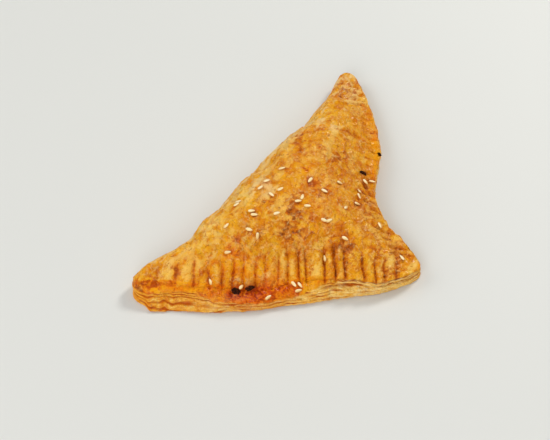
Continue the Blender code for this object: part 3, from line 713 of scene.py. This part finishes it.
def side_layers(along, way, border, weights):
    """Relief of the torn laminae in the side, and the masks that their colours are read from."""
    fan, stack = weights[:, FAN], weights[:, STACK]
    spot = side_spots(along, way * LAYERS)
    layered = smooth_step((way - border) / SKIN_EDGE) * smooth_step((1 - way) / SKIN_EDGE)
    wander = sum(share * grain(spot, *noise) for share, *noise in SEAM_WANDER)
    lamina = way * LAYERS + wander * (1 + FAN_WANDER * fan)
    change = grain(side_spots(along, SEAM_STEP * np.round(lamina)), *STRENGTH_NOISE)
    strength = smooth_step(SEAM_STRENGTH + FAN_STRENGTH * fan + STRENGTH_CHANGE * change)
    strength = strength * (1 - LOWER_CALM * stack * smooth_step((way - LOWER_SHEET) / 0.1))
    seam = (1 - np.abs(np.sin(math.pi * lamina))) ** LAYER_SHARPNESS
    thin = lamina * THIN_SHEETS + THIN_WANDER * grain(spot, *THIN_NOISE)
    thin_seam = (1 - np.abs(np.sin(math.pi * thin))) ** 2
    ragged = bumps(along, RAGGED_LENGTH * np.floor(lamina), RAGGED_LENGTH, RAGGED_DRAW)
    torn = grain(side_spots(along, SHEET_STEP * np.floor(lamina)), *TORN_NOISE)
    thin_torn = grain(side_spots(along, SHEET_STEP * np.floor(thin)), *THIN_TORN_NOISE)
    middle = PARTING + PARTING_WANDER * grain(spot, *PARTING_NOISE)
    parting = stack * bell((way - middle) / PARTING_WIDTH)
    relief = LAYER_RELIEF * (1 - 2 * seam * (0.3 + 0.7 * strength)) + RAGGED_RELIEF * ragged
    relief += TORN_RELIEF * torn + THIN_RELIEF * (0.6 * thin_torn - thin_seam)
    tones = zip(SHEET_TONES, (1, torn, thin_torn, fan, stack))
    masks = {
        "layered": layered,
        "lamina": lamina,
        "thin": thin,
        "strength": strength,
        # The parting is painted dark as shade.
        "gap": parting,
        "sheet": sum(tone * share for tone, share in tones),
    }
    return layered * relief - PARTING_DEPTH * parting, masks


def side_surface(columns):
    """Points of the flaky side, and its masks, as arrays of rows by columns."""
    way = np.linspace(0, 1, SIDE_ROWS)[:, None]
    skin, weights, out, up = side_form(columns, way)
    base, away = OUTLINE.at(columns), OUTLINE.outward(columns)
    rim = base[:, :2]
    along = columns + 0 * way
    edge = side_spots(along, 0)
    border = skin + SKIN_WANDER * grain(edge, *BORDER_NOISE)
    relief, masks = side_layers(along, way, border, weights)
    back_gap = OUTLINE.nearest(rim, BACK_START, BACK_END)[0]
    front_gap = OUTLINE.nearest(rim, FRONT_START, FRONT_END)[0]
    pressed = smooth_step((PRESSED_RIM - front_gap) / 2)
    land = FRONT_FORKED.land(rim @ FRONT_FORKED.square)
    bulge = smooth_step(way / 0.02) * bell((way - FINGER_WAY) / FINGER_WAY)
    under = FOOT_WAY * (1 + FOOT_WANDER * grain(edge, *FOOT_NOISE))
    foot = pressed * bell((way - under) / FOOT_WIDTH) * (0.25 + 0.75 * weights[:, STACK])
    foot = foot * np.clip(0.75 + 0.7 * grain(edge, *FOOT_BREAK_NOISE), 0, 1)
    reach = base[:, 3] * out + relief + FINGER_BULGE * pressed * land * bulge - FOOT_DEPTH * foot

    wave = bumps(along, WAVE_CHANGE * way, WAVE_LENGTH, WAVE_DRAW) * 4 * way * (1 - way)
    fade = 1 - smooth_step(way / MARK_DROP)
    grooves, hollow = fork_marks(rim, back_gap, front_gap)
    height = base[:, 2] * (up + (1 - skin) * WAVE_SHARE * wave) - grooves * fade
    for upper, lower in zip(height, height[1:]):
        np.minimum(lower, upper - ROW_DROP, out=lower)
    height = np.maximum(height, BASE_LIFT * (way < 1))
    points = rim + away * reach[..., None]
    # The line under the fingers is painted dark as shadow.
    masks["gap"] = np.maximum(masks["gap"], foot)
    masks["hollow"] = hollow * fade**2
    masks["flank"] = fade**2 * pressed * (LAND_SHARE - land)
    masks["fold"] = weights[:, FOLD] * (1 - 0.9 * smooth_step(way / FOLD_FADE))
    masks["lip"] = (1 - masks["layered"]) * pressed * (weights[:, LIP] + weights[:, FAN])
    masks["crimp"] = fade * pressed
    masks["inside"] = 0 * along
    return np.concatenate([points, height[..., None]], axis=-1), masks


def top_spots():
    """An even spread of points inside the crust's outline."""
    extent = np.abs(OUTLINE.curve[:, :2]).max()
    steps = np.arange(-extent, extent, TOP_PITCH)
    lines = [
        np.column_stack([steps + 0.5 * TOP_PITCH * (count % 2), np.full_like(steps, y)])
        for count, y in enumerate(np.arange(-extent, extent, TOP_PITCH * math.sqrt(0.75)))
    ]
    points = np.concatenate(lines)
    points = points[OUTLINE.holds(points)]
    return points[OUTLINE.nearest(points, 0, OUTLINE.total)[0] > TOP_MARGIN]


def fill_ring(ring, inner):
    """Triangles over a ring of points and the points inside it, turned to face up."""
    points = [Vector(point) for point in np.concatenate([ring, inner])]
    borders = [(here, (here + 1) % len(ring)) for here in range(len(ring))]
    found, _, faces, sources, _, _ = delaunay_2d_cdt(points, borders, [], 1, MERGE_DISTANCE)
    if len(found) != len(points):
        raise ValueError("the outline crosses itself")
    order = np.array([source[0] for source in sources])
    return order[np.array(faces)]


def corner_normals(points, faces):
    """Unit normals of the points, from the triangles around them."""
    a, b, c = (points[corners] for corners in faces.T)
    square = np.cross(b - a, c - a)
    normals = np.zeros_like(points)
    for corners in faces.T:
        np.add.at(normals, corners, square)
    return normals / np.maximum(np.linalg.norm(normals, axis=1, keepdims=True), 1e-9)


def patches(points, rows):
    """The sum of soft round patches: x, y, radius and strength."""
    total = np.zeros(len(points))
    for x, y, radius, strength in rows:
        gap = np.hypot(points[:, 0] - x, points[:, 1] - y)
        total += strength * bell(gap / radius)
    return total


def crust_surface():
    """Points, triangles and masks of the puff's closed surface."""
    columns = side_columns()
    side, side_masks = side_surface(columns)
    spots = top_spots()
    height, top_masks = crust_top(spots)
    top = np.column_stack([spots, height])
    foot = side[-1, :, :2]
    middle = foot.mean(axis=0)
    floor = middle + BASE_INSET * (foot[::BASE_STEP] - middle)
    points = np.concatenate([side.reshape(-1, 3), top, np.column_stack([floor, 0 * floor[:, 0]])])

    here = np.arange(side[..., 0].size).reshape(side.shape[:2])
    after = np.roll(here, -1, axis=1)
    upper, lower = (here[:-1], after[:-1]), (here[1:], after[1:])
    quads = np.stack([upper[0], lower[0], lower[1], upper[0], lower[1], upper[1]], axis=-1)
    inner = np.arange(here.size, len(points))
    on_top = np.concatenate([here[0], inner[:len(top)]])
    below = np.concatenate([here[-1], inner[len(top):]])
    faces = np.concatenate([
        quads.reshape(-1, 3),
        on_top[fill_ring(side[0, :, :2], spots)],
        below[fill_ring(foot, floor)[:, ::-1]],
    ])
    plain = np.zeros(len(top)), np.zeros(len(floor))
    masks = {
        name: np.concatenate([mask.ravel(), top_masks.get(name, plain[0]), plain[1]])
        for name, mask in side_masks.items()
    }
    return points, faces, masks


def crease_depth(points):
    """Depth of the creases, and how near the points lie to one, from 0 to 1."""
    shift = [CREASE_WANDER * grain(points, *noise) for noise in CREASE_NOISES]
    spots = points[:, :2] + np.stack(shift, axis=-1)
    depth, near = np.zeros(len(points)), np.zeros(len(points))
    for width, fall, *corners in CREASES:
        line = np.array(corners)
        gap = np.full(len(points), np.inf)
        for start, end in zip(line, line[1:]):
            run = end - start
            share = np.clip((spots - start) @ run / (run @ run), 0, 1)
            gap = np.minimum(gap, np.linalg.norm(spots - start - share[:, None] * run, axis=1))
        valley, bank = bell(gap / width), bell(gap / width - BANK_WAY)
        depth += fall * (valley - BANK_SHARE * bank)
        near = np.maximum(near, valley * fall / FULL_CREASE)
    return depth, np.clip(near, 0, 1)


def lone_blisters(points):
    """Height of the blisters that stand out alone, with a ring-shaped wall."""
    total = np.zeros(len(points))
    wander = 1 + BLISTER_WANDER * grain(points, *BLISTER_NOISE)
    for x, y, radius, height in LONE_BLISTERS:
        share = np.hypot(points[:, 0] - x, points[:, 1] - y) * wander / radius
        rise = 1 - smooth_step((share - BLISTER_FLAT) / BLISTER_WALL)
        total += height * rise * (1 - BLISTER_DIMPLE * bell(2 * share))
    return total


def flake_edges(points):
    """Height of thin flakes with a sharp edge, the pale rim of that edge, which is partly a painted
    highlight, and the painted shade at its foot.
    """
    height, rim, foot = (np.zeros(len(points)) for _ in range(3))
    for draw, (rise, width, levels) in enumerate(FLAKES, FLAKE_DRAW):
        level = levels * grain(points, width, draw)
        for place, (share, bend) in enumerate(FLAKE_WANDER, 1):
            level += share * grain(points, bend, draw + 2 * place)
        part = level - np.floor(level)
        show = smooth_step(0.5 + grain(points, 0.6 * width, draw + 7))
        height += rise * show * smooth_step(part / FLAKE_EDGE) * (1 - part)
        rim = np.maximum(rim, show * bell((part - RIM_WAY) / RIM_WIDTH))
        painted_shade = bell(part / FLAKE_FOOT[0]) + bell((1 - part) / FLAKE_FOOT[1])
        foot = np.maximum(foot, show * painted_shade)
    return height, rim, foot


def skin_relief(points, masks):
    """Height of the skin's low relief and its calm, and what browns or pales with its forms: browning with
    painted shade in hollows, creases and at the feet of flakes, and pale rims that are partly painted
    highlight.
    """
    inside, crimp = masks["inside"], masks["crimp"]
    fine = sum(rise * grain(points, *noise) for rise, *noise in FINE_BLISTERS)
    ridge = np.clip(1 - np.abs(grain(points, *WRINKLE_NOISE)), 0, 1) ** WRINKLE_SHARPNESS
    flakes, rim, flake_shade = flake_edges(points)
    creases, near_crease = crease_depth(points)
    across = points[:, :2] @ FRONT_FORKED.square
    inward = points[:, 1] * FRONT_FORKED.square[0] - points[:, 0] * FRONT_FORKED.square[1]
    streaks = crimp * grain(np.column_stack([across, inward, points[:, 2]]), *STREAK_NOISE)
    calm = 1 - CRIMP_CALM * crimp
    relief = calm * (fine + WRINKLE_HEIGHT * ridge + inside * flakes) + STREAK_RELIEF * streaks
    relief += inside * (lone_blisters(points) - creases) - FINGER_RISE * masks["flank"]
    browning_and_shade = BLISTER_TOAST * fine + WRINKLE_TOAST * (ridge + streaks)
    # Painted shade at the feet of the flakes' edges.
    browning_and_shade += FLAKE_SHADE * calm * inside * flake_shade
    # Painted shade in the fork marks' hollows and in the creases.
    browning_and_shade += np.maximum(HOLLOW_SHADE * masks["hollow"], CREASE_SHADE * near_crease)
    return relief, calm, browning_and_shade, rim


def dress_crust(points, faces, masks):
    """Adds the low relief along the normals, and the masks that the colours are read from."""
    normals = corner_normals(points, faces)
    inside, layered = masks["inside"], masks["layered"]
    skin = (1 - layered) * (points[:, 2] > BASE_MARGIN)
    relief, calm, browning_and_shade, rim = skin_relief(points, masks)
    share = skin * (EDGE_RELIEF + (1 - EDGE_RELIEF) * inside)
    points = points + normals * (share * relief)[:, None]
    points[:, 2] -= RELIEF_MEAN * calm * skin * inside
    points[:, 2] = np.where(layered > 0, points[:, 2], np.maximum(points[:, 2], 0))

    speckle = smooth_step(0.5 + MOTTLE_GAIN * grain(points, *MOTTLE_NOISE))
    mottle = LEAST_MOTTLE + MORE_MOTTLE * speckle
    browning_and_shade += TOAST + mottle * patches(points, TOAST_PATCHES) + BROAD_TOAST * grain(points, *BROAD_NOISE)
    # Painted shade in the flanks of the fork marks' lands, and a painted highlight on their tops.
    browning_and_shade += FOLD_TOAST * masks["fold"] + FLANK_SHADING * masks["flank"]
    # A darker ring round each seed: browning and painted contact shadow.
    halos = [(x, y, SEED_SIZE[1], SEED_HALO) for x, y, _ in seed_spots()]
    masks["browning_and_shade"] = browning_and_shade + patches(points, halos)
    burnt = patches(points, BURNT_PATCHES) * (BURNT_LEVEL + BURNT_CHANGE * grain(points, *BURNT_NOISE))
    masks["rim"] = skin * inside * rim
    # The gap mask joins burnt crust with painted shade in the fork marks' hollows.
    sums = {
        "gap": np.maximum(np.maximum(masks["gap"], HOLLOW_DARK * masks["hollow"] ** 3), burnt),
        "fold": masks["fold"] + patches(points, PALE_PATCHES),
        "oil": LIP_OIL * masks["lip"] + patches(points, OIL_PATCHES),
        "stain": STAIN_CHANGE * grain(points, *STAIN_NOISE) + patches(points, STAIN_PATCHES),
    }
    masks.update((name, np.clip(value, 0, 1)) for name, value in sums.items())
    return points, masks


def to_metres():
    """Moves the footprint's middle to the origin and turns millimetres into metres."""
    return Matrix.Scale(MM, 4) @ Matrix.Translation((-MIDDLE[0], -MIDDLE[1], 0))


def crust_piece(points, faces, masks):
    """The crust as a smooth mesh with its masks as point attributes."""
    mesh = bpy.data.meshes.new("crust")
    mesh.from_pydata(points.tolist(), [], faces.tolist())
    mesh.transform(to_metres())
    for name in CRUST_MASKS:
        layer = mesh.attributes.new(name, "FLOAT", "POINT")
        layer.data.foreach_set("value", masks[name].astype(np.float32))
    mesh.shade_smooth()
    mesh.materials.append(crust_material())
    return add_piece("crust", mesh)


def add_piece(name, data):
    """An object in the scene."""
    piece = bpy.data.objects.new(name, data)
    bpy.context.scene.collection.objects.link(piece)
    return piece


def colour(*channels):
    """A screen colour's red, green and blue, from 0 to 255, as a shader colour."""
    shares = [channel / 255 for channel in channels]
    return (*(share / 12.92 if share <= 0.04045 else ((share + 0.055) / 1.055) ** 2.4 for share in shares), 1)


class Shader:
    """A Principled material and the nodes that feed it."""

    def __init__(self, name, **values):
        self.material = bpy.data.materials.new(name)
        self.material.use_nodes = True
        self.tree = self.material.node_tree
        self.surface(**values)

    def surface(self, **values):
        """Sets sockets of the Principled shader."""
        self.adjust(self.tree.nodes["Principled BSDF"], **values)

    def feed(self, socket, value):
        """Links an output to a socket, or sets the socket to a value or a screen colour."""
        if isinstance(value, bpy.types.NodeSocket):
            self.tree.links.new(value, socket)
        else:
            socket.default_value = colour(*value) if socket.type == "RGBA" else value

    def adjust(self, node, **values):
        """Feeds a node's sockets and sets its properties, by their names."""
        for name, value in values.items():
            socket = node.inputs.get(name.replace("_", " "))
            if socket is None:
                setattr(node, name, value)
            else:
                self.feed(socket, value)

    def node(self, kind, *first, **values):
        """A new node, with its first sockets fed in turn and the rest set by name."""
        made = self.tree.nodes.new("ShaderNode" + kind)
        self.adjust(made, **values)
        for socket, value in zip(made.inputs, first):
            self.feed(socket, value)
        return made

    def mask(self, name):
        """A point attribute of the mesh."""
        return self.node("Attribute", attribute_name=name).outputs["Fac"]

    def math(self, operation, *values):
        """What the operation makes of one to three values."""
        return self.node("Math", *values, operation=operation).outputs[0]

    def times(self, first, second, *plus):
        """A product, with one more value added to it where that is given."""
        return self.math("MULTIPLY_ADD" if plus else "MULTIPLY", first, second, *plus)

    def mapped(self, value, low, high, to_low=0, to_high=1):
        """A value moved softly from one range to another, and held at its ends."""
        made = self.node("MapRange", value, low, high, to_low, to_high, interpolation_type="SMOOTHSTEP")
        return made.outputs["Result"]

    def place(self, stretch=(1, 1, 1), warp=0, width=1):
        """The place on the puff, pushed about by a noise of that width in millimetres."""
        spot = self.node("TexCoord").outputs["Object"]
        if warp:
            push = self.node("TexNoise", spot, Scale=1 / (width * MM), Detail=2)
            reach = (2 * warp * MM,) * 3
            moved = self.node("VectorMath", push.outputs["Color"], reach, spot, operation="MULTIPLY_ADD")
            spot = moved.outputs[0]
        return self.node("Mapping", spot, Scale=stretch).outputs[0]

    def noise(self, width, detail, roughness=0.55, distortion=0, place=None):
        """Noise from 0 to 1 whose bumps are about so many millimetres wide."""
        made = self.node("TexNoise", place or self.place(), Scale=1 / (width * MM), Detail=detail)
        self.adjust(made, Roughness=roughness, Distortion=distortion)
        return made.outputs["Fac"]

    def spots(self, noise, reach):
        """Soft spots of a noise, where it lies in a range."""
        return self.mapped(self.noise(*noise), *reach)

    def cells(self, width, place):
        """A random value for each flake of about that width, and the distance to its middle."""
        made = self.node("TexVoronoi", place, Scale=1 / (width * MM))
        return self.node("SeparateColor", made.outputs["Color"]).outputs[0], made.outputs["Distance"]

    def upward(self):
        """How far the surface faces up: 1 on a level top, and 0 on an upright side."""
        return self.node("SeparateXYZ", self.node("NewGeometry").outputs["Normal"]).outputs["Z"]

    def seam(self, number, narrow, wide):
        """1 where the number of a sheet is whole, and 0 away from there."""
        return self.mapped(self.math("PINGPONG", number, 0.5), narrow, wide, 1, 0)

    def ramp(self, value, rows):
        """Colours along a value."""
        made = self.node("ValToRGB", value)
        elements = made.color_ramp.elements
        while len(elements) < len(rows):
            elements.new(1)
        for element, (place, *shade) in zip(elements, rows):
            element.position = place
            element.color = colour(*shade)
        return made.outputs["Color"]

    def mix(self, share, first, second):
        """One colour laid over another."""
        made = self.node("Mix", share, data_type="RGBA")
        for socket, value in zip(made.inputs[6:8], (first, second)):
            self.feed(socket, value)
        return made.outputs[2]

    def bump(self, height, distance, strength):
        """A bump of so many millimetres on the shader's normal."""
        made = self.node("Bump", Height=height, Distance=distance * MM, Strength=strength)
        self.surface(Normal=made.outputs[0])


def browned(shader, broad, small, tiny):
    """The skin's browning with its painted shade, mottled by noise and flakes, and the distance to a scale's
    middle.
    """
    warped = shader.place((1, 1, 1), *SCALE_PUSH)
    flake, _ = shader.cells(FLAKE_SIZE, warped)
    scale, pillow = shader.cells(SCALE_SIZE, warped)
    browning_and_shade = shader.mask("browning_and_shade")
    veiny = shader.mapped(browning_and_shade, *VEINY_REACH)
    fine, coarse = zip((small, tiny, scale), FINE_MOTTLE), zip((broad, flake), COARSE_MOTTLE)
    for most, tones in ((veiny, fine), (1, coarse)):
        for tone, share in tones:
            tone = shader.times(shader.math("SUBTRACT", tone, 0.5), most)
            browning_and_shade = shader.times(tone, share, browning_and_shade)
    return browning_and_shade, pillow


def glazed(shader, browning_and_shade):
    """The skin's golden brown, its red blush, the straw-coloured glaze over it, laid thicker on the lands'
    tops as a painted highlight, and painted glints.
    """
    mapped, mask = shader.mapped, shader.mask
    skin = shader.mix(shader.spots(*BLUSH_SPOTS), shader.ramp(browning_and_shade, SKIN_RAMP), BLUSH)
    streaky = shader.place(STREAK_STRETCH, *STREAK_PUSH)
    straw = mapped(shader.noise(*STRAW_TONE, streaky), *STRAW_REACH)
    # More straw glaze on the lands' tops than in their flanks, a painted highlight and shade; more on the
    # fold.
    most = shader.times(mask("flank"), -0.6, shader.times(mask("fold"), 0.3, 0.6))
    straw = shader.times(straw, mapped(most, 0, 1))
    straw = shader.times(straw, mapped(browning_and_shade, *STRAW_TOAST_REACH))
    skin = shader.mix(straw, skin, shader.mix(mapped(mask("fold"), *CREAM_REACH), STRAW, CREAM))
    return shader.mix(shader.spots(*GLINT_SPOTS), skin, GLINT)


def cracked(shader, skin, broad, small):
    """The skin with the pale rims of its flakes, partly painted highlight, and with cracks and pits."""
    rim = shader.times(shader.mask("rim"), shader.mapped(small, *RIM_REACH))
    skin = shader.mix(rim, skin, RIM_AND_HIGHLIGHT)
    cracks = shader.math("ABSOLUTE", shader.math("SUBTRACT", shader.noise(*CRACK_TONE), 0.5))
    cracks = shader.mapped(cracks, *CRACK_REACH)
    cracks = shader.times(cracks, shader.mapped(broad, *CRACKED_REACH))
    return shader.mix(shader.spots(*PIT_SPOTS), shader.mix(cracks, skin, CRACK), PIT)


def layered(shader, stain):
    """The pale layers where the pastry was cut, with darker seams between them."""
    fibres = shader.noise(*FIBRE_TONE, shader.place(FIBRE_STRETCH))
    layer = shader.ramp(shader.times(shader.mask("sheet"), 0.45, shader.times(fibres, 0.55)), LAYER_RAMP)
    layer = shader.mix(shader.times(shader.seam(shader.mask("thin"), *THIN_REACH), 0.4), layer, THIN_SEAM)
    seam = shader.times(shader.seam(shader.mask("lamina"), *SEAM_REACH), shader.mask("strength"))
    return shader.mix(shader.times(stain, 0.6), shader.mix(seam, layer, SEAM), SOAKED_LAYER)


def crust_material():
    """Egg-washed puff pastry: a mottled golden skin, and pale layers where it was cut."""
    shader = Shader("crust", Coat_Weight=0.14, Coat_Roughness=0.12, Specular_IOR_Level=0.06)
    mask, mapped, mix, times = shader.mask, shader.mapped, shader.mix, shader.times
    broad, small, tiny = (shader.noise(*tone) for tone in (BROAD_TONE, SMALL_TONE, TINY_TONE))
    browning_and_shade, pillow = browned(shader, broad, small, tiny)
    oil = times(times(mask("flank"), 0.35, mask("oil")), mapped(small, *OIL_REACH))
    skin = mix(mapped(oil, 0, 1), glazed(shader, browning_and_shade), shader.ramp(browning_and_shade, OILY_RAMP))
    stain = times(mask("stain"), mapped(small, *STAIN_REACH))
    skin = mix(stain, cracked(shader, skin, broad, small), shader.ramp(small, STAIN_RAMP))
    # Burnt crust and painted shade share one dark brown, read from the gap mask.
    base = mix(mask("gap"), mix(mask("layered"), skin, layered(shader, stain)), BURNT_AND_SHADE)
    dry = times(mask("layered"), 0.15, mapped(small, *DULL_REACH))
    shader.surface(Base_Color=base, Roughness=times(shader.math("MAXIMUM", oil, stain), -0.2, dry))
    shader.bump(times(pillow, -0.3, times(small, 0.6, times(tiny, 0.5))), 1.3, 1)
    return shader.material


def seed_material():
    """Hulled sesame, ivory where it faces up and tan low down where it meets the crust: painted light and
    shade.
    """
    shader = Shader("sesame", Coat_Weight=0.1, Coat_Roughness=0.3)
    # Lighter where the seed faces up: painted light and shade.
    tone = shader.times(shader.noise(2.2, 2), 0.5, shader.times(shader.upward(), 0.75))
    shader.surface(Base_Color=shader.ramp(tone, SEED_SHADING_RAMP), Roughness=shader.spots(*SEED_GLOSS))
    shader.bump(shader.noise(0.35, 2), 0.05, 0.5)
    return shader.material


def bit_material():
    """Burnt filling, nearly black with a dull sheen."""
    shader = Shader("scorched", Specular_IOR_Level=0.06)
    tone = shader.ramp(shader.noise(0.9, 3), BIT_RAMP)
    shader.surface(Base_Color=tone, Roughness=shader.spots(*BIT_GLOSS))
    shader.bump(shader.noise(0.5, 3), 0.15, 0.8)
    return shader.material


def seed_spots():
    """x, y and heading in degrees of each sesame seed, drawn within its patch."""
    draw = random.Random(SEED_DRAW)
    spots = []
    for middle_x, middle_y, *patch in SEED_PATCHES:
        radius, count = patch or (1, 1)
        wanted = len(spots) + count
        gap = SEED_GAP
        while len(spots) < wanted:
            turn, reach = draw.uniform(0, 2 * math.pi), radius * math.sqrt(draw.random())
            x, y = middle_x + reach * math.cos(turn), middle_y + reach * math.sin(turn)
            if all(math.hypot(x - spot[0], y - spot[1]) >= gap for spot in spots):
                spots.append((x, y, draw.gauss(SEED_HEADING, SEED_HEADING_CHANGE)))
            gap *= SEED_GAP_EASE
    return spots


def lay_pebble(mesh, surfaces, spot, size, sink, taper, facets, lumps):
    """Adds an ellipsoid, slimmer at one end, that lies on the crust at x, y and heading."""
    x, y, heading = spot
    turn = math.radians(heading)
    along, down = Vector((math.cos(turn), math.sin(turn), 0)), Vector((0, 0, -1))
    above = Vector((x, y, SEARCH_HEIGHT))
    place, normal, _, _ = surfaces[0].ray_cast(above, down)
    touches = [above + share * size[0] * along for share in TOUCHES]
    plain, dressed = ([tree.ray_cast(touch, down)[0].z for touch in touches] for tree in surfaces)
    place.z += max(np.subtract(dressed, plain))
    ball = bmesh.ops.create_uvsphere(mesh, u_segments=facets[0], v_segments=facets[1], radius=0.5)
    across, up, length = np.array([vert.co for vert in ball["verts"]]).T
    slim = 1 - taper * (length + 0.5)
    form = np.column_stack([length, across * slim, up * slim]) * size
    form *= 1 + lumps * grain(form + (x, y, 0), *BIT_NOISE)[:, None]
    lying = normal.to_track_quat("Z", "X").to_matrix().to_4x4()
    aim = lying.inverted() @ along
    spin = Matrix.Rotation(math.atan2(aim.y, aim.x), 4, "Z")
    lift = Matrix.Translation(place + normal * (0.5 * size[2] - sink))
    for vert, point in zip(ball["verts"], form):
        vert.co = to_metres() @ lift @ lying @ spin @ Vector(point)


def seed_piece(surfaces):
    """All the sesame seeds as one mesh."""
    gathered = bmesh.new()
    for spot in seed_spots():
        lay_pebble(gathered, surfaces, spot, SEED_SIZE, SEED_SINK, SEED_TAPER, SEED_FACETS, 0)
    return finish_piece("sesame_seeds", gathered, seed_material())


def bit_piece(surfaces):
    """The scorched bits as one mesh."""
    gathered = bmesh.new()
    for x, y, *size, heading in SCORCHED_BITS:
        lay_pebble(gathered, surfaces, (x, y, heading), size, BIT_SINK, 0, BIT_FACETS, BIT_LUMPS)
    return finish_piece("scorched_bits", gathered, bit_material())


def finish_piece(name, gathered, material):
    """A smooth object from a bmesh."""
    mesh = bpy.data.meshes.new(name)
    gathered.to_mesh(mesh)
    gathered.free()
    mesh.materials.append(material)
    mesh.shade_smooth()
    return add_piece(name, mesh)


def add_facing(name, data, azimuth, elevation, distance, target=(0, 0, 0)):
    """An object at that distance from the target, looking at it."""
    turn, rise = math.radians(azimuth), math.radians(elevation)
    back = Vector((math.sin(turn) * math.cos(rise), -math.cos(turn) * math.cos(rise), math.sin(rise)))
    made = add_piece(name, data)
    made.location = (Vector(target) + distance * back) * MM
    made.rotation_euler = back.to_track_quat("Z", "Y").to_euler()
    return made


def add_camera():
    """The camera at the photograph's angle."""
    data = bpy.data.cameras.new("camera")
    data.lens, data.sensor_width, data.clip_end = CAMERA_LENS, CAMERA_SENSOR, CAMERA_RANGE
    bpy.context.scene.camera = add_facing("camera", data, *CAMERA_PLACE)


def add_lights():
    """Square soft lights that face the puff."""
    for name, (*place, size, power, tint) in LIGHTS.items():
        data = bpy.data.lights.new(name, "AREA")
        data.size, data.energy, data.color = size, power, tint
        add_facing(name, data, *place)


def add_stage():
    """The pale floor and the sky."""
    world = bpy.data.worlds.new("sky")
    world.use_nodes = True
    background = world.node_tree.nodes["Background"]
    background.inputs["Color"].default_value = (*SKY_COLOUR, 1)
    background.inputs["Strength"].default_value = SKY_STRENGTH
    bpy.context.scene.world = world
    shader = Shader("floor", Base_Color=FLOOR_COLOUR, Roughness=0.6)
    flat = bmesh.new()
    bmesh.ops.create_grid(flat, x_segments=1, y_segments=1, size=FLOOR_SIZE)
    floor = finish_piece("floor", flat, shader.material)
    floor.location.z = -FLOOR_GAP * MM
    bpy.context.scene.view_settings.view_transform = "Standard"


def main():
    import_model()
    add_camera()
    add_lights()
    add_stage()
    points, faces, masks = crust_surface()
    plain = BVHTree.FromPolygons(points.tolist(), faces.tolist())
    points, masks = dress_crust(points, faces, masks)
    surfaces = plain, BVHTree.FromPolygons(points.tolist(), faces.tolist())
    crust = crust_piece(points, faces, masks)
    for piece in (crust, seed_piece(surfaces), bit_piece(surfaces)):
        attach(piece, "root")
    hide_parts("puff")


main()
